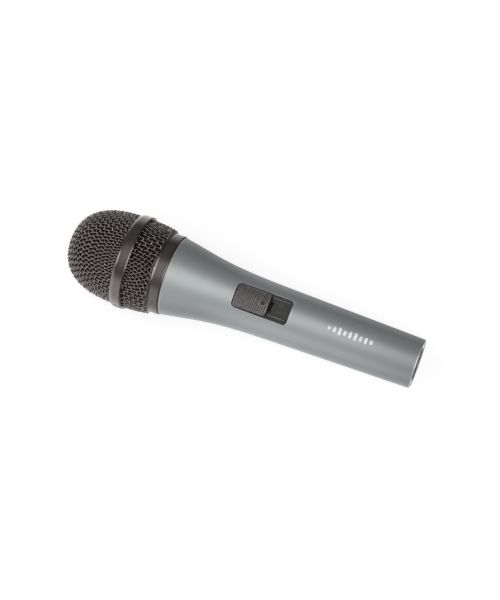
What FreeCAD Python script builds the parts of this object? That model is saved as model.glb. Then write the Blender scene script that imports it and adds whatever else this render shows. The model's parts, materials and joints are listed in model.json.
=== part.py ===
"""Dynamic hand-held microphone with a slide switch, as an assembly of separate pieces.

Every piece is drawn about the microphone's own axis: local Z runs from the tail (z = 0) to the tip of
the grille, and local +X is the side of the switch. The whole assembly is then laid on the ground as it
rests there, on the rim of its centre band and the edge of its tail: the grille towards -X, the tail
towards +X, the switch up, and the ground at Z = 0. Millimetres.
"""
import FreeCAD
import Part
import math
import os

from FreeCAD import Vector

# ---- driving dimensions: the outside -----------------------------------------------------------
LENGTH = 180.0          # tail face to the tip of the grille
TAIL_R = 12.2           # handle radius at the tail
TAIL_CHAMFER = 0.4
HANDLE_TOP = 125.8      # where the handle ends, below the neck gasket
# the handle's outline above the tail: (height, radius)
HANDLE_LINE = [(12.7, 12.5), (31.7, 12.85), (50.9, 13.25), (65.4, 13.55), (80.2, 13.92), (90.0, 14.4),
               (100.0, 15.3), (110.0, 16.75), (120.0, 18.6), (HANDLE_TOP, 19.6)]
GASKET_T = 0.5
RING_LOW = HANDLE_TOP + GASKET_T
RING_TOP = 132.1
RING_LOW_R = 20.0
RING_TOP_R = 20.9
RING_GROOVE_Z = 0.9     # above the ring's lower edge
RING_GROOVE_H = 0.35
RING_GROOVE_D = 0.4
SPIGOT_H = 1.4          # the ring's spigot inside the rear mesh
MESH_T = 1.3            # two crossing wires of 0.65
REAR_MESH_LOW_R = 21.3
REAR_MESH_MID = (137.5, 22.15)
BAND_LOW = 144.3
BAND_TOP = 150.4
BAND_R = 23.75
BAND_BEVEL_Z = 148.3    # the band's front edge is rounded from here on
BAND_TOP_R = 22.9
BAND_CROWN = 0.22       # how far the rounding has fallen halfway up
BAND_EDGE = 0.45        # the bevel of its rear edge
BAND_BORE_R = 22.6
MESH_SEAM = 147.2       # the two meshes meet here, under the band
DOME_LOW = 148.0
DOME_R = 22.5
DOME_POWER = 2.4        # a blunt dome: 2 would be an ellipse
DOME_STEPS = 14
FOAM_GAP = 0.3
FOAM_T = 3.4
FOAM_LOW = RING_TOP + 2.2

# ---- the neck and the handle's inside ----------------------------------------------------------
THREAD_R = 17.4
THREAD_GAP = 0.08       # radial running clearance of the grille's thread
THREAD_CHAMFER = 0.6
GASKET_INSET = 0.4      # its rim stays this far inside the handle's
COLLAR_LOW = 113.4
COLLAR_TOP = 131.6
COLLAR_SKIRT_R = 16.2
COLLAR_BORE_R = 15.0
COLLAR_LIP_R = 12.6
COLLAR_LIP_T = 1.6
INSERT_BORE_R = 10.4
INSERT_BORE_L = 20.0
CAVITY_R = 11.2
CAVITY_WAIST = 88.0     # the cavity widens with the handle from here on
CAVITY_FLARE = (101.0, 13.2)
CAVITY_NECK_R = 15.0
TOUCH = 0.02            # gap left between round faces that only touch
BEYOND = 20.0           # a cutter's far end, outside everything it cuts

# ---- the capsule ------------------------------------------------------------------------------
CAPSULE_R = 13.5
CAPSULE_WALL = 1.1
CHAMBER_LOW = 117.0
CHAMBER_TOP = 124.0
LEDGE_LOW = 139.5
LEDGE_TOP = 143.0
SEAT_Z = 145.0          # where the diaphragm's rim is clamped
SEAT_R = 11.6
CAPSULE_TOP = 149.0
CAP_T = 1.4
CAP_EDGE = 0.5
SOUND_HOLE_R = 1.1
SOUND_HOLES = ((1, 0.0), (6, 4.6), (12, 9.2))       # (how many, circle radius)
YOKE_R = 9.9
YOKE_BORE_R = 8.6
YOKE_LOW = 134.5
YOKE_TOP = 143.6
YOKE_BASE_T = 2.0
MAGNET_R = 7.2
MAGNET_H = 5.5
POLE_R = 7.6
COIL_R = 8.3
COIL_T = 0.4
COIL_H = 3.8
DIAPHRAGM_R = 8.5
DIAPHRAGM_T = 0.2
DIAPHRAGM_RISE = 2.3
SURROUND_ROLL = 0.7
FELT_T = 1.2
CHAMBER_FLOOR = 1.2
BOARD_R = 8.0
BOARD_T = 1.2
LUG_Y = 4.5
LUG_PAD = 2.4
LUG_PAD_T = 0.4
LUG_L = 2.2
MOUNT_BORE_R = 10.0
MOUNT_GROOVES_Z = (118.5, 122.1, 125.7)
MOUNT_GROOVE_H = 1.4
MOUNT_GROOVE_D = 0.7
CAPSULE_RING_T = 1.8

# ---- the switch -------------------------------------------------------------------------------
SLOT_LOW = 64.1
SLOT_TOP = 92.3
SLOT_W = 12.5
SLOT_CORNER_R = 1.9
PLATE_GAP = 0.12
PLATE_LOW_X = 9.6
PLATE_TOP_X = 11.5
PLATE_TAB_W = 6.0
PLATE_TAB_L = 5.6
PLATE_TAB_X = 10.7
RAIL_Y = 4.7
RAIL_W = 0.8
RAIL_H = 0.5
RAIL_END = 1.2          # the rails stop this far short of the plate's ends
SLIDER_LOW = 75.0
SLIDER_TOP = 91.8
SLIDER_W = 11.9
SLIDER_CORNER_R = 1.3
SLIDER_PROUD = 0.15
SLIDER_GAP = 0.06       # between the slider's underside and the rails
RIB_PITCH = 0.93
RIB_GROOVE_W = 0.35
RIB_GROOVE_D = 0.22
DIMPLE_R = 1.15
DIMPLE_Z = 77.9
DIMPLE_FLOOR_X = 13.4
SWITCH_TRAVEL = 10.0
STEM_W = 4.4
STEM_L = 5.0
STEM_Z = 86.0
STEM_LOW_X = 9.0
RUN_GAP = 0.2
POST_W = 2.6
POST_L = 2.0
POST_TOP_X = 11.2
CASE_LOW_X = 3.2
CASE_TOP_X = 8.4
CASE_W = 8.4
CASE_WALL = 0.8
CASE_LOW = 69.0
CASE_TOP = 92.0
CARRIAGE_T = 1.1
CARRIAGE_L = 10.4
CONTACT_T = 0.3
PCB_T = 1.2
PCB_W = 11.0
PCB_LOW = 66.0
PCB_TOP = 95.0
TERMINAL_R = 0.4
TERMINAL_LOW_X = -0.6
TERMINALS_Z = (74.0, 80.0, 86.0)
BRACKET_T = 1.2
BRACKET_W = 10.0
BRACKET_LOW = 58.4
BRACKET_TOP = 98.0
SCREW_R = 1.0
SCREW_HEAD_R = 1.8
SCREW_HEAD_T = 1.2

# ---- the connector ----------------------------------------------------------------------------
SOCKET_R = 8.1
SOCKET_DEPTH = 15.2
SOCKET_MOUTH_R = 8.4
SOCKET_MOUTH_L = 2.2
SHELL_LOW = 0.2
SHELL_TOP = 19.6
SHELL_GAP = 0.05
DISC_R = 8.6
DISC_T = 3.2
LATCH_W = 5.0
LATCH_LOW = 4.0
LATCH_TOP = 8.5
LATCH_D = 0.9
PIN_R = 1.2
PIN_ROOT_R = 1.6
PIN_CIRCLE_R = 4.4
PIN_ANGLES = (70.0, 290.0, 180.0)
PIN_TIP = 3.0
PIN_TIP_CHAMFER = 0.6
PIN_CUP_R = 1.0
PIN_CUP_TOP = 22.6
SET_SCREW_Z = 10.0
SET_SCREW_R = 1.25
SET_SCREW_IN = 9.0
SET_SCREW_OUT = 12.2
WIRE_R = 0.6

AXIS = Vector(0, 0, 1)
ORIGIN = Vector(0, 0, 0)


# ---- drawing helpers --------------------------------------------------------------------------
def at(r, z):
    """A point of an outline, at radius r and height z."""
    return Vector(r, 0, z)


def turned(edges):
    """The solid that a closed outline sweeps about the axis."""
    face = Part.Face(Part.Wire(edges))
    solid = face.revolve(ORIGIN, AXIS, 360)
    return Part.makeSolid(solid.Shells[0]) if solid.ShapeType != "Solid" else solid


def turned_points(points):
    """A turned solid whose outline is straight between its (r, z) points."""
    corners = [at(r, z) for r, z in points]
    return turned(Part.makePolygon(corners + corners[:1]).Edges)


def ring(inner_r, outer_r, low, top):
    return turned_points([(inner_r, low), (outer_r, low), (outer_r, top), (inner_r, top)])


def disc(r, low, top, x=0.0, y=0.0):
    return Part.makeCylinder(r, top - low, Vector(x, y, low))


def block(x0, x1, width, z0, z1, y=0.0):
    """A box between two X values and two heights, of a width centred on y."""
    return Part.makeBox(x1 - x0, width, z1 - z0, Vector(x0, y - width / 2, z0))


def rounded_block(x0, x1, width, z0, z1, corner_r):
    """A block whose four edges along X are rounded."""
    box = block(x0, x1, width, z0, z1)
    along_x = [e for e in box.Edges if abs(e.tangentAt(e.FirstParameter).x) > 0.9]
    return box.makeFillet(corner_r, along_x)


def bolt_x(r, x0, x1, z, y=0.0):
    """A round bar along X."""
    return Part.makeCylinder(r, x1 - x0, Vector(x0, y, z), Vector(1, 0, 0))


def spline(points, start_way=None, end_way=None):
    curve = Part.BSplineCurve()
    if start_way is None:
        curve.interpolate(points)
    else:
        curve.interpolate(Points=points, InitialTangent=start_way, FinalTangent=end_way)
    return curve.toShape()


def line(a, b):
    return Part.LineSegment(a, b).toShape()


# ---- the handle -------------------------------------------------------------------------------
def handle_outline(proud=0.0):
    """The spline of the handle's outside, from the tail's chamfer to its top."""
    stations = [(TAIL_CHAMFER, TAIL_R)] + HANDLE_LINE
    return spline([at(r + proud, z) for z, r in stations])


def handle_body(proud=0.0):
    """The handle as a solid bar, used for its own shell and for the slider's curved top."""
    top_r = HANDLE_LINE[-1][1] + proud
    corners = [at(top_r, HANDLE_TOP), at(0, HANDLE_TOP), at(0, 0), at(TAIL_R - TAIL_CHAMFER + proud, 0)]
    edges = [line(a, b) for a, b in zip(corners, corners[1:])]
    edges.append(line(corners[-1], at(TAIL_R + proud, TAIL_CHAMFER)))
    return turned(edges + [handle_outline(proud)])


def handle_shell():
    hollow = turned_points([
        (0, -1), (INSERT_BORE_R, -1), (INSERT_BORE_R, INSERT_BORE_L), (CAVITY_R, INSERT_BORE_L + 0.8),
        (CAVITY_R, CAVITY_WAIST), (CAVITY_FLARE[1], CAVITY_FLARE[0]), (CAVITY_NECK_R, COLLAR_LOW),
        (COLLAR_SKIRT_R, COLLAR_LOW), (COLLAR_SKIRT_R, HANDLE_TOP + 1),
        (0, HANDLE_TOP + 1)])
    slot = rounded_block(0, BEYOND, SLOT_W, SLOT_LOW, SLOT_TOP, SLOT_CORNER_R)
    screw_hole = bolt_x(SET_SCREW_R, -BEYOND, -SET_SCREW_IN, SET_SCREW_Z)
    return handle_body().cut(hollow).cut(slot).cut(screw_hole)


def neck_collar():
    """The threaded neck that the grille screws onto, and the seat of the capsule's rubber mount."""
    return turned_points([
        (COLLAR_LIP_R, COLLAR_LOW), (COLLAR_SKIRT_R - TOUCH, COLLAR_LOW),
        (COLLAR_SKIRT_R - TOUCH, HANDLE_TOP), (THREAD_R, HANDLE_TOP), (THREAD_R, COLLAR_TOP - THREAD_CHAMFER),
        (THREAD_R - THREAD_CHAMFER, COLLAR_TOP), (COLLAR_BORE_R, COLLAR_TOP),
        (COLLAR_BORE_R, COLLAR_LOW + COLLAR_LIP_T), (COLLAR_LIP_R, COLLAR_LOW + COLLAR_LIP_T)])


def neck_gasket():
    return ring(THREAD_R + THREAD_GAP, HANDLE_LINE[-1][1] - GASKET_INSET, HANDLE_TOP, RING_LOW)


# ---- the grille -------------------------------------------------------------------------------
def dome_point(turn, inset):
    """A point of the blunt dome, inset from its outside; turn runs from 0 at the rim to 1 at the tip."""
    angle = turn * math.pi / 2
    r = (DOME_R - inset) * math.cos(angle) ** (2 / DOME_POWER)
    z = DOME_LOW + (LENGTH - DOME_LOW - inset) * math.sin(angle) ** (2 / DOME_POWER)
    return at(r, z)


def dome_curve(inset):
    """The dome's outline from its rim to its tip."""
    points = [dome_point(i / DOME_STEPS, inset) for i in range(DOME_STEPS)]
    points.append(at(0, LENGTH - inset))
    return spline(points, Vector(0, 0, 1), Vector(-1, 0, 0))


def rear_curve(inset):
    """The rear mesh's outline, from the seam under the band down to the base ring."""
    points = [at(DOME_R - inset, MESH_SEAM), at(REAR_MESH_MID[1] - inset, REAR_MESH_MID[0]),
              at(REAR_MESH_LOW_R - inset, RING_TOP)]
    return spline(points)


def grille_mesh_front():
    """The woven front dome, as one closed skin of the mesh's thickness."""
    low = MESH_SEAM + 0.1
    edges = [line(at(DOME_R, low), at(DOME_R, DOME_LOW)), dome_curve(0),
             line(at(0, LENGTH), at(0, LENGTH - MESH_T)), dome_curve(MESH_T),
             line(at(DOME_R - MESH_T, DOME_LOW), at(DOME_R - MESH_T, low)),
             line(at(DOME_R - MESH_T, low), at(DOME_R, low))]
    return turned(Part.__sortEdges__(edges))


def grille_mesh_rear():
    """The woven rear skin, from the band back to the base ring."""
    edges = [rear_curve(0), rear_curve(MESH_T),
             line(at(DOME_R - MESH_T, MESH_SEAM), at(DOME_R, MESH_SEAM)),
             line(at(REAR_MESH_LOW_R - MESH_T, RING_TOP), at(REAR_MESH_LOW_R, RING_TOP))]
    return turned(Part.__sortEdges__(edges))


def grille_band():
    """The centre band that clasps both meshes; its front edge is rounded over."""
    bevel_mid = at(BAND_R - BAND_CROWN, (BAND_BEVEL_Z + BAND_TOP) / 2)
    arc = Part.Arc(at(BAND_R, BAND_BEVEL_Z), bevel_mid, at(BAND_TOP_R, BAND_TOP)).toShape()
    corners = [at(BAND_TOP_R, BAND_TOP), at(BAND_BORE_R, BAND_TOP), at(BAND_BORE_R, BAND_LOW),
               at(BAND_R - BAND_EDGE, BAND_LOW), at(BAND_R, BAND_LOW + BAND_EDGE), at(BAND_R, BAND_BEVEL_Z)]
    edges = [line(a, b) for a, b in zip(corners, corners[1:])]
    return turned(edges + [arc])


def ring_face_r(z):
    """The base ring's outer radius, which widens evenly towards the mesh."""
    return RING_LOW_R + (RING_TOP_R - RING_LOW_R) * (z - RING_LOW) / (RING_TOP - RING_LOW)


def grille_base_ring():
    """The ring with the grille's female thread, and a thin groove just above its lower edge."""
    bore_r = THREAD_R + THREAD_GAP
    spigot_r = REAR_MESH_LOW_R - MESH_T - 0.1
    low_edge = 0.15
    top_edge = 0.35
    groove_low = RING_LOW + RING_GROOVE_Z
    groove_top = groove_low + RING_GROOVE_H
    groove_r = ring_face_r(groove_low) - RING_GROOVE_D
    return turned_points([
        (bore_r, RING_LOW), (RING_LOW_R - low_edge, RING_LOW), (RING_LOW_R, RING_LOW + low_edge),
        (ring_face_r(groove_low), groove_low), (groove_r, groove_low), (groove_r, groove_top),
        (ring_face_r(groove_top), groove_top), (RING_TOP_R, RING_TOP - top_edge),
        (RING_TOP_R - top_edge, RING_TOP), (spigot_r, RING_TOP), (spigot_r, RING_TOP + SPIGOT_H),
        (bore_r, RING_TOP + SPIGOT_H)])


def foam_windscreen():
    """The foam cup that lines the grille."""
    gap = MESH_T + FOAM_GAP
    inset = gap + FOAM_T
    outer_foot = at(REAR_MESH_LOW_R - gap, FOAM_LOW)
    inner_foot = at(REAR_MESH_LOW_R - inset, FOAM_LOW)
    edges = [line(outer_foot, at(DOME_R - gap, DOME_LOW)), dome_curve(gap),
             line(at(0, LENGTH - gap), at(0, LENGTH - inset)), dome_curve(inset),
             line(at(DOME_R - inset, DOME_LOW), inner_foot), line(inner_foot, outer_foot)]
    return turned(Part.__sortEdges__(edges))


# ---- the capsule ------------------------------------------------------------------------------
def capsule_housing():
    """The capsule's tube, with the ledge that centres the magnet cup and the seat of the diaphragm."""
    bore_r = CAPSULE_R - CAPSULE_WALL
    return turned_points([
        (bore_r, CHAMBER_TOP), (CAPSULE_R, CHAMBER_TOP), (CAPSULE_R, CAPSULE_TOP), (bore_r, CAPSULE_TOP),
        (bore_r, SEAT_Z), (SEAT_R, SEAT_Z), (SEAT_R, LEDGE_TOP), (YOKE_R + TOUCH, LEDGE_TOP),
        (YOKE_R + TOUCH, LEDGE_LOW), (bore_r, LEDGE_LOW)])


def resonator_cap():
    """The cap over the diaphragm: a disc with one sound hole in its middle and rings of holes round it."""
    top = CAPSULE_TOP + CAP_T
    cap = turned_points([
        (0, CAPSULE_TOP), (CAPSULE_R, CAPSULE_TOP), (CAPSULE_R, top - CAP_EDGE), (CAPSULE_R - CAP_EDGE, top),
        (0, top)])
    for count, circle_r in SOUND_HOLES:
        for i in range(count):
            angle = 2 * math.pi * i / count
            x = circle_r * math.cos(angle)
            y = circle_r * math.sin(angle)
            cap = cap.cut(disc(SOUND_HOLE_R, CAPSULE_TOP - 1, top + 1, x, y))
    return cap


def surround_clamp():
    bore_r = CAPSULE_R - CAPSULE_WALL
    return ring(SEAT_R, bore_r - TOUCH, SEAT_Z + DIAPHRAGM_T, CAPSULE_TOP)


def diaphragm_surround():
    """The soft ring between the diaphragm's dome and its clamped rim, rolled once."""
    rim_r = CAPSULE_R - CAPSULE_WALL - 0.2
    mid_r = (DIAPHRAGM_R + SEAT_R) / 2
    t = DIAPHRAGM_T
    crest = SEAT_Z + SURROUND_ROLL
    inner = [at(DIAPHRAGM_R, SEAT_Z), at(mid_r, crest), at(SEAT_R, SEAT_Z)]
    outer = [at(SEAT_R, SEAT_Z + t), at(mid_r, crest + t), at(DIAPHRAGM_R, SEAT_Z + t)]
    edges = [Part.Arc(*inner).toShape(), line(inner[2], at(rim_r, SEAT_Z)),
             line(at(rim_r, SEAT_Z), at(rim_r, SEAT_Z + t)), line(at(rim_r, SEAT_Z + t), outer[0]),
             Part.Arc(*outer).toShape(), line(outer[2], inner[0])]
    return turned(edges)


def cap_arc(base_r, rise, low):
    """Half of a spherical cap's outline, from its rim at the height low to its top on the axis."""
    ball_r = (base_r ** 2 + rise ** 2) / (2 * rise)
    centre_z = low + rise - ball_r
    half_angle = math.asin(base_r / ball_r) / 2
    middle = at(ball_r * math.sin(half_angle), centre_z + ball_r * math.cos(half_angle))
    return Part.Arc(at(base_r, low), middle, at(0, low + rise)).toShape()


def diaphragm_dome():
    """The stiff dome that moves the coil."""
    top = SEAT_Z + DIAPHRAGM_T
    edges = [cap_arc(DIAPHRAGM_R, DIAPHRAGM_RISE, SEAT_Z), cap_arc(DIAPHRAGM_R, DIAPHRAGM_RISE, top),
             line(at(0, SEAT_Z + DIAPHRAGM_RISE), at(0, top + DIAPHRAGM_RISE)),
             line(at(DIAPHRAGM_R, SEAT_Z), at(DIAPHRAGM_R, top))]
    return turned(Part.__sortEdges__(edges))


def voice_coil():
    return ring(COIL_R - COIL_T, COIL_R, SEAT_Z - COIL_H, SEAT_Z)


def yoke_cup():
    return turned_points([
        (0, YOKE_LOW), (YOKE_R, YOKE_LOW), (YOKE_R, YOKE_TOP), (YOKE_BORE_R, YOKE_TOP),
        (YOKE_BORE_R, YOKE_LOW + YOKE_BASE_T), (0, YOKE_LOW + YOKE_BASE_T)])


def magnet():
    low = YOKE_LOW + YOKE_BASE_T
    return disc(MAGNET_R, low, low + MAGNET_H)


def pole_piece():
    return disc(POLE_R, YOKE_LOW + YOKE_BASE_T + MAGNET_H, YOKE_TOP)


def acoustic_felt():
    bore_r = CAPSULE_R - CAPSULE_WALL
    return ring(YOKE_R + TOUCH, bore_r - TOUCH, LEDGE_LOW - FELT_T, LEDGE_LOW)


def rear_chamber():
    """The closed cup behind the capsule, whose air springs the low notes."""
    bore_r = CAPSULE_R - CAPSULE_WALL
    return turned_points([
        (0, CHAMBER_LOW), (CAPSULE_R, CHAMBER_LOW), (CAPSULE_R, CHAMBER_TOP), (bore_r, CHAMBER_TOP),
        (bore_r, CHAMBER_LOW + CHAMBER_FLOOR), (0, CHAMBER_LOW + CHAMBER_FLOOR)])


def terminal_board():
    return disc(BOARD_R, CHAMBER_LOW - BOARD_T, CHAMBER_LOW)


def solder_lugs():
    """The two lugs on the capsule's terminal board that the wires are soldered to."""
    low = CHAMBER_LOW - BOARD_T
    lugs = []
    for side in (-1, 1):
        pad = block(-LUG_PAD / 2, LUG_PAD / 2, LUG_PAD, low - LUG_PAD_T, low, side * LUG_Y)
        post = block(-0.5, 0.5, LUG_PAD_T, low - LUG_L, low - LUG_PAD_T, side * LUG_Y)
        lugs.append(pad.fuse(post))
    return Part.makeCompound(lugs)


def shock_mount():
    """The rubber sleeve that the capsule floats in, grooved so that it gives."""
    low = COLLAR_LOW + COLLAR_LIP_T
    top = COLLAR_TOP - CAPSULE_RING_T - 0.2
    outer_r = COLLAR_BORE_R - TOUCH
    floor = CHAMBER_LOW - TOUCH
    sleeve = turned_points([
        (MOUNT_BORE_R, low), (outer_r, low), (outer_r, top), (CAPSULE_R + TOUCH, top),
        (CAPSULE_R + TOUCH, floor), (MOUNT_BORE_R, floor)])
    for z in MOUNT_GROOVES_Z:
        sleeve = sleeve.cut(ring(outer_r - MOUNT_GROOVE_D, COLLAR_BORE_R + 1, z, z + MOUNT_GROOVE_H))
    return sleeve


def capsule_ring():
    """The ring that keeps the rubber sleeve in the neck."""
    top = COLLAR_TOP - 0.2
    return ring(CAPSULE_R + 0.1, COLLAR_BORE_R - TOUCH, top - CAPSULE_RING_T, top)


# ---- the switch -------------------------------------------------------------------------------
def stem_way(gap):
    """The room that the slider's stem sweeps, with a gap all round: its low and high ends along Z."""
    return STEM_Z - STEM_L / 2 - SWITCH_TRAVEL - gap, STEM_Z + STEM_L / 2 + gap


def switch_plate():
    """The dark floor of the slot, with two rails for the slider and a tab at each end."""
    low = SLOT_LOW + PLATE_GAP
    top = SLOT_TOP - PLATE_GAP
    plate = rounded_block(PLATE_LOW_X, PLATE_TOP_X, SLOT_W - 2 * PLATE_GAP, low, top, SLOT_CORNER_R)
    for side in (-1, 1):
        rail = block(PLATE_TOP_X, PLATE_TOP_X + RAIL_H, RAIL_W, low + RAIL_END, top - RAIL_END, side * RAIL_Y)
        plate = plate.fuse(rail)
    for z0 in (low - PLATE_TAB_L, top):
        plate = plate.fuse(block(PLATE_LOW_X - 0.4, PLATE_TAB_X, PLATE_TAB_W, z0 - 0.01,
                                 z0 + PLATE_TAB_L + 0.01))
    way_low, way_top = stem_way(RUN_GAP)
    plate = plate.cut(block(0, BEYOND, STEM_W + 2 * RUN_GAP, way_low, way_top))
    for z in bracket_screw_heights():
        plate = plate.cut(bolt_x(SCREW_R, 0, BEYOND, z))
    return plate.removeSplitter()


def switch_slider():
    """The metal cap under the thumb: a curved top with cross ribs and a dimple, on a hollow stem."""
    low_x = PLATE_TOP_X + RAIL_H + SLIDER_GAP
    cap = rounded_block(low_x, BEYOND, SLIDER_W, SLIDER_LOW, SLIDER_TOP, SLIDER_CORNER_R)
    cap = cap.common(handle_body(SLIDER_PROUD))
    ribs = int((SLIDER_TOP - SLIDER_LOW) / RIB_PITCH) - 1
    cutter = handle_body(SLIDER_PROUD - RIB_GROOVE_D)
    for i in range(ribs):
        z = SLIDER_LOW + (i + 1) * RIB_PITCH
        if abs(z - DIMPLE_Z) > DIMPLE_R + RIB_GROOVE_W:
            groove = block(low_x, BEYOND, SLIDER_W + 1, z, z + RIB_GROOVE_W)
            cap = cap.cut(groove.cut(cutter))
    cap = cap.cut(bolt_x(DIMPLE_R, DIMPLE_FLOOR_X, BEYOND, DIMPLE_Z))
    stem = block(STEM_LOW_X, low_x + 0.2, STEM_W, STEM_Z - STEM_L / 2, STEM_Z + STEM_L / 2)
    socket = block(0, POST_TOP_X + 0.1, POST_W + 0.1, STEM_Z - POST_L / 2 - 0.05, STEM_Z + POST_L / 2 + 0.05)
    return cap.fuse(stem).cut(socket).removeSplitter()


def switch_case():
    """The slide switch's own case, open at the top along the lever's way."""
    case = block(CASE_LOW_X, CASE_TOP_X, CASE_W, CASE_LOW, CASE_TOP)
    inside = block(CASE_LOW_X + CASE_WALL, CASE_TOP_X - CASE_WALL, CASE_W - 2 * CASE_WALL,
                   CASE_LOW + CASE_WALL, CASE_TOP - CASE_WALL)
    window_low = STEM_Z - POST_L / 2 - SWITCH_TRAVEL - RUN_GAP
    window_top = STEM_Z + POST_L / 2 + RUN_GAP
    window = block(CASE_LOW_X + CASE_WALL, BEYOND, POST_W + 2 * RUN_GAP, window_low, window_top)
    return case.cut(inside).cut(window)


def carriage_top():
    """The upper face of the lever's carriage, just under the case's roof."""
    return CASE_TOP_X - CASE_WALL - 0.1


def switch_lever():
    """The lever: a carriage inside the case, with a post up into the slider's stem."""
    top_x = carriage_top()
    width = CASE_W - 2 * CASE_WALL - 2 * RUN_GAP
    top_z = CASE_TOP - CASE_WALL - RUN_GAP
    carriage = block(top_x - CARRIAGE_T, top_x, width, top_z - CARRIAGE_L, top_z)
    post = block(top_x - 0.5, POST_TOP_X, POST_W, STEM_Z - POST_L / 2, STEM_Z + POST_L / 2)
    return carriage.fuse(post).removeSplitter()


def switch_contact():
    """The springy bridge under the carriage that closes two of the terminals at a time."""
    top_x = carriage_top() - CARRIAGE_T
    top_z = CASE_TOP - CASE_WALL - RUN_GAP - 1.5
    low_z = top_z - CARRIAGE_L + 3.0
    foot_x = CASE_LOW_X + CASE_WALL + 0.25
    bridge = block(top_x - CONTACT_T, top_x, 2.4, low_z, top_z)
    for z0 in (low_z, top_z - CONTACT_T):
        bridge = bridge.fuse(block(foot_x, top_x - CONTACT_T, 2.4, z0, z0 + CONTACT_T))
    return bridge.removeSplitter()


def switch_board():
    board = block(CASE_LOW_X - PCB_T, CASE_LOW_X, PCB_W, PCB_LOW, PCB_TOP)
    for z in TERMINALS_Z:
        board = board.cut(bolt_x(TERMINAL_R + 0.1, 0, BEYOND, z))
    return board


def switch_terminals():
    """Three pins from the switch's case down through its board."""
    return Part.makeCompound([bolt_x(TERMINAL_R, TERMINAL_LOW_X, CASE_LOW_X, z) for z in TERMINALS_Z])


def bracket_screw_heights():
    """Where the two bracket screws go through the plate's tabs."""
    return SLOT_LOW + PLATE_GAP - PLATE_TAB_L / 2, SLOT_TOP - PLATE_GAP + PLATE_TAB_L / 2


def switch_bracket():
    """The bent steel strip that carries the board and hangs from the plate's two tabs."""
    base_top = CASE_LOW_X - PCB_T
    foot_x = PLATE_LOW_X - 0.4
    half = BRACKET_W / 2
    strip = block(base_top - BRACKET_T, base_top, BRACKET_W, BRACKET_LOW, BRACKET_TOP)
    ends = ((BRACKET_LOW, BRACKET_LOW + BRACKET_T, BRACKET_LOW, SLOT_LOW - 0.3),
            (BRACKET_TOP - BRACKET_T, BRACKET_TOP, SLOT_TOP + 0.3, BRACKET_TOP))
    for leg_low, leg_top, foot_low, foot_top in ends:
        leg = block(base_top - BRACKET_T, foot_x, half, leg_low, leg_top)
        foot = block(foot_x - BRACKET_T, foot_x, half, foot_low, foot_top)
        strip = strip.fuse(leg).fuse(foot)
    for z in bracket_screw_heights():
        strip = strip.cut(bolt_x(SCREW_R + 0.1, base_top, BEYOND, z))
    window = block(0, base_top + 1, 4.0, TERMINALS_Z[0] - 3, TERMINALS_Z[-1] + 3)
    return strip.cut(window).removeSplitter()


def bracket_screws():
    """Two identical pan-head screws that hold the bracket to the plate."""
    head_top = PLATE_LOW_X - 0.4 - BRACKET_T
    screws = []
    for z in bracket_screw_heights():
        head = bolt_x(SCREW_HEAD_R, head_top - SCREW_HEAD_T, head_top, z)
        cross = block(head_top - SCREW_HEAD_T, head_top - SCREW_HEAD_T + 0.6, 0.5, z - 1.1, z + 1.1)
        screws.append(head.fuse(bolt_x(SCREW_R - TOUCH, head_top, PLATE_TAB_X - 0.2, z)).cut(cross))
    return Part.makeCompound(screws)


# ---- the connector ----------------------------------------------------------------------------
def xlr_shell():
    """The tube of the socket, with the pocket that a plug's latch springs into."""
    outer_r = INSERT_BORE_R - SHELL_GAP
    shell = turned_points([
        (SOCKET_MOUTH_R, SHELL_LOW), (outer_r - 0.3, SHELL_LOW), (outer_r, SHELL_LOW + 0.3),
        (outer_r, SHELL_TOP), (DISC_R + TOUCH, SHELL_TOP), (DISC_R + TOUCH, SOCKET_DEPTH),
        (SOCKET_R, SOCKET_DEPTH), (SOCKET_R, SHELL_LOW + SOCKET_MOUTH_L),
        (SOCKET_MOUTH_R, SHELL_LOW + SOCKET_MOUTH_L)])
    latch = block(5.0, SOCKET_R + LATCH_D, LATCH_W, LATCH_LOW, LATCH_TOP)
    screw_hole = bolt_x(SET_SCREW_R, -BEYOND, -SET_SCREW_IN, SET_SCREW_Z)
    return shell.cut(latch).cut(screw_hole)


def pin_places():
    """The three pins' places round the connector's axis."""
    turns = [math.radians(a) for a in PIN_ANGLES]
    return [(PIN_CIRCLE_R * math.cos(t), PIN_CIRCLE_R * math.sin(t)) for t in turns]


def contact_disc():
    body = disc(DISC_R, SOCKET_DEPTH, SOCKET_DEPTH + DISC_T)
    for x, y in pin_places():
        body = body.cut(disc(PIN_ROOT_R + TOUCH, 0, 30, x, y))
    return body


def xlr_pins():
    """Three identical pins: a chamfered tip, a thicker root in the disc and a solder cup behind."""
    pins = []
    for x, y in pin_places():
        pin = turned_points([
            (0, PIN_TIP), (PIN_R - PIN_TIP_CHAMFER, PIN_TIP), (PIN_R, PIN_TIP + PIN_TIP_CHAMFER),
            (PIN_R, SOCKET_DEPTH), (PIN_ROOT_R, SOCKET_DEPTH), (PIN_ROOT_R, SOCKET_DEPTH + DISC_T),
            (PIN_CUP_R, SOCKET_DEPTH + DISC_T), (PIN_CUP_R, PIN_CUP_TOP), (0, PIN_CUP_TOP)])
        pin.translate(Vector(x, y, 0))
        pins.append(pin)
    return Part.makeCompound(pins)


def set_screw():
    """The grub screw through the handle that keeps the connector in."""
    screw = bolt_x(SET_SCREW_R - TOUCH, -SET_SCREW_OUT, -SET_SCREW_IN - TOUCH, SET_SCREW_Z)
    slit = block(-SET_SCREW_OUT, -SET_SCREW_OUT + 0.7, 3.0, SET_SCREW_Z - 0.25, SET_SCREW_Z + 0.25)
    return screw.cut(slit)


def ground_spring():
    """The leaf from the back of the connector's shell to the handle's wall, which earths the handle."""
    z0 = SHELL_TOP
    strip_y = INSERT_BORE_R - 0.45
    strip = block(-1.5, 1.5, 0.3, z0, z0 + 5.0, strip_y)
    foot = block(-1.5, 1.5, 1.2, z0, z0 + 0.3, strip_y - 0.45)
    tongue = block(-0.8, 0.8, 1.1, z0 + 4.2, z0 + 4.6, CAVITY_R - 0.6)
    return strip.fuse(foot).fuse(tongue).removeSplitter()


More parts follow.
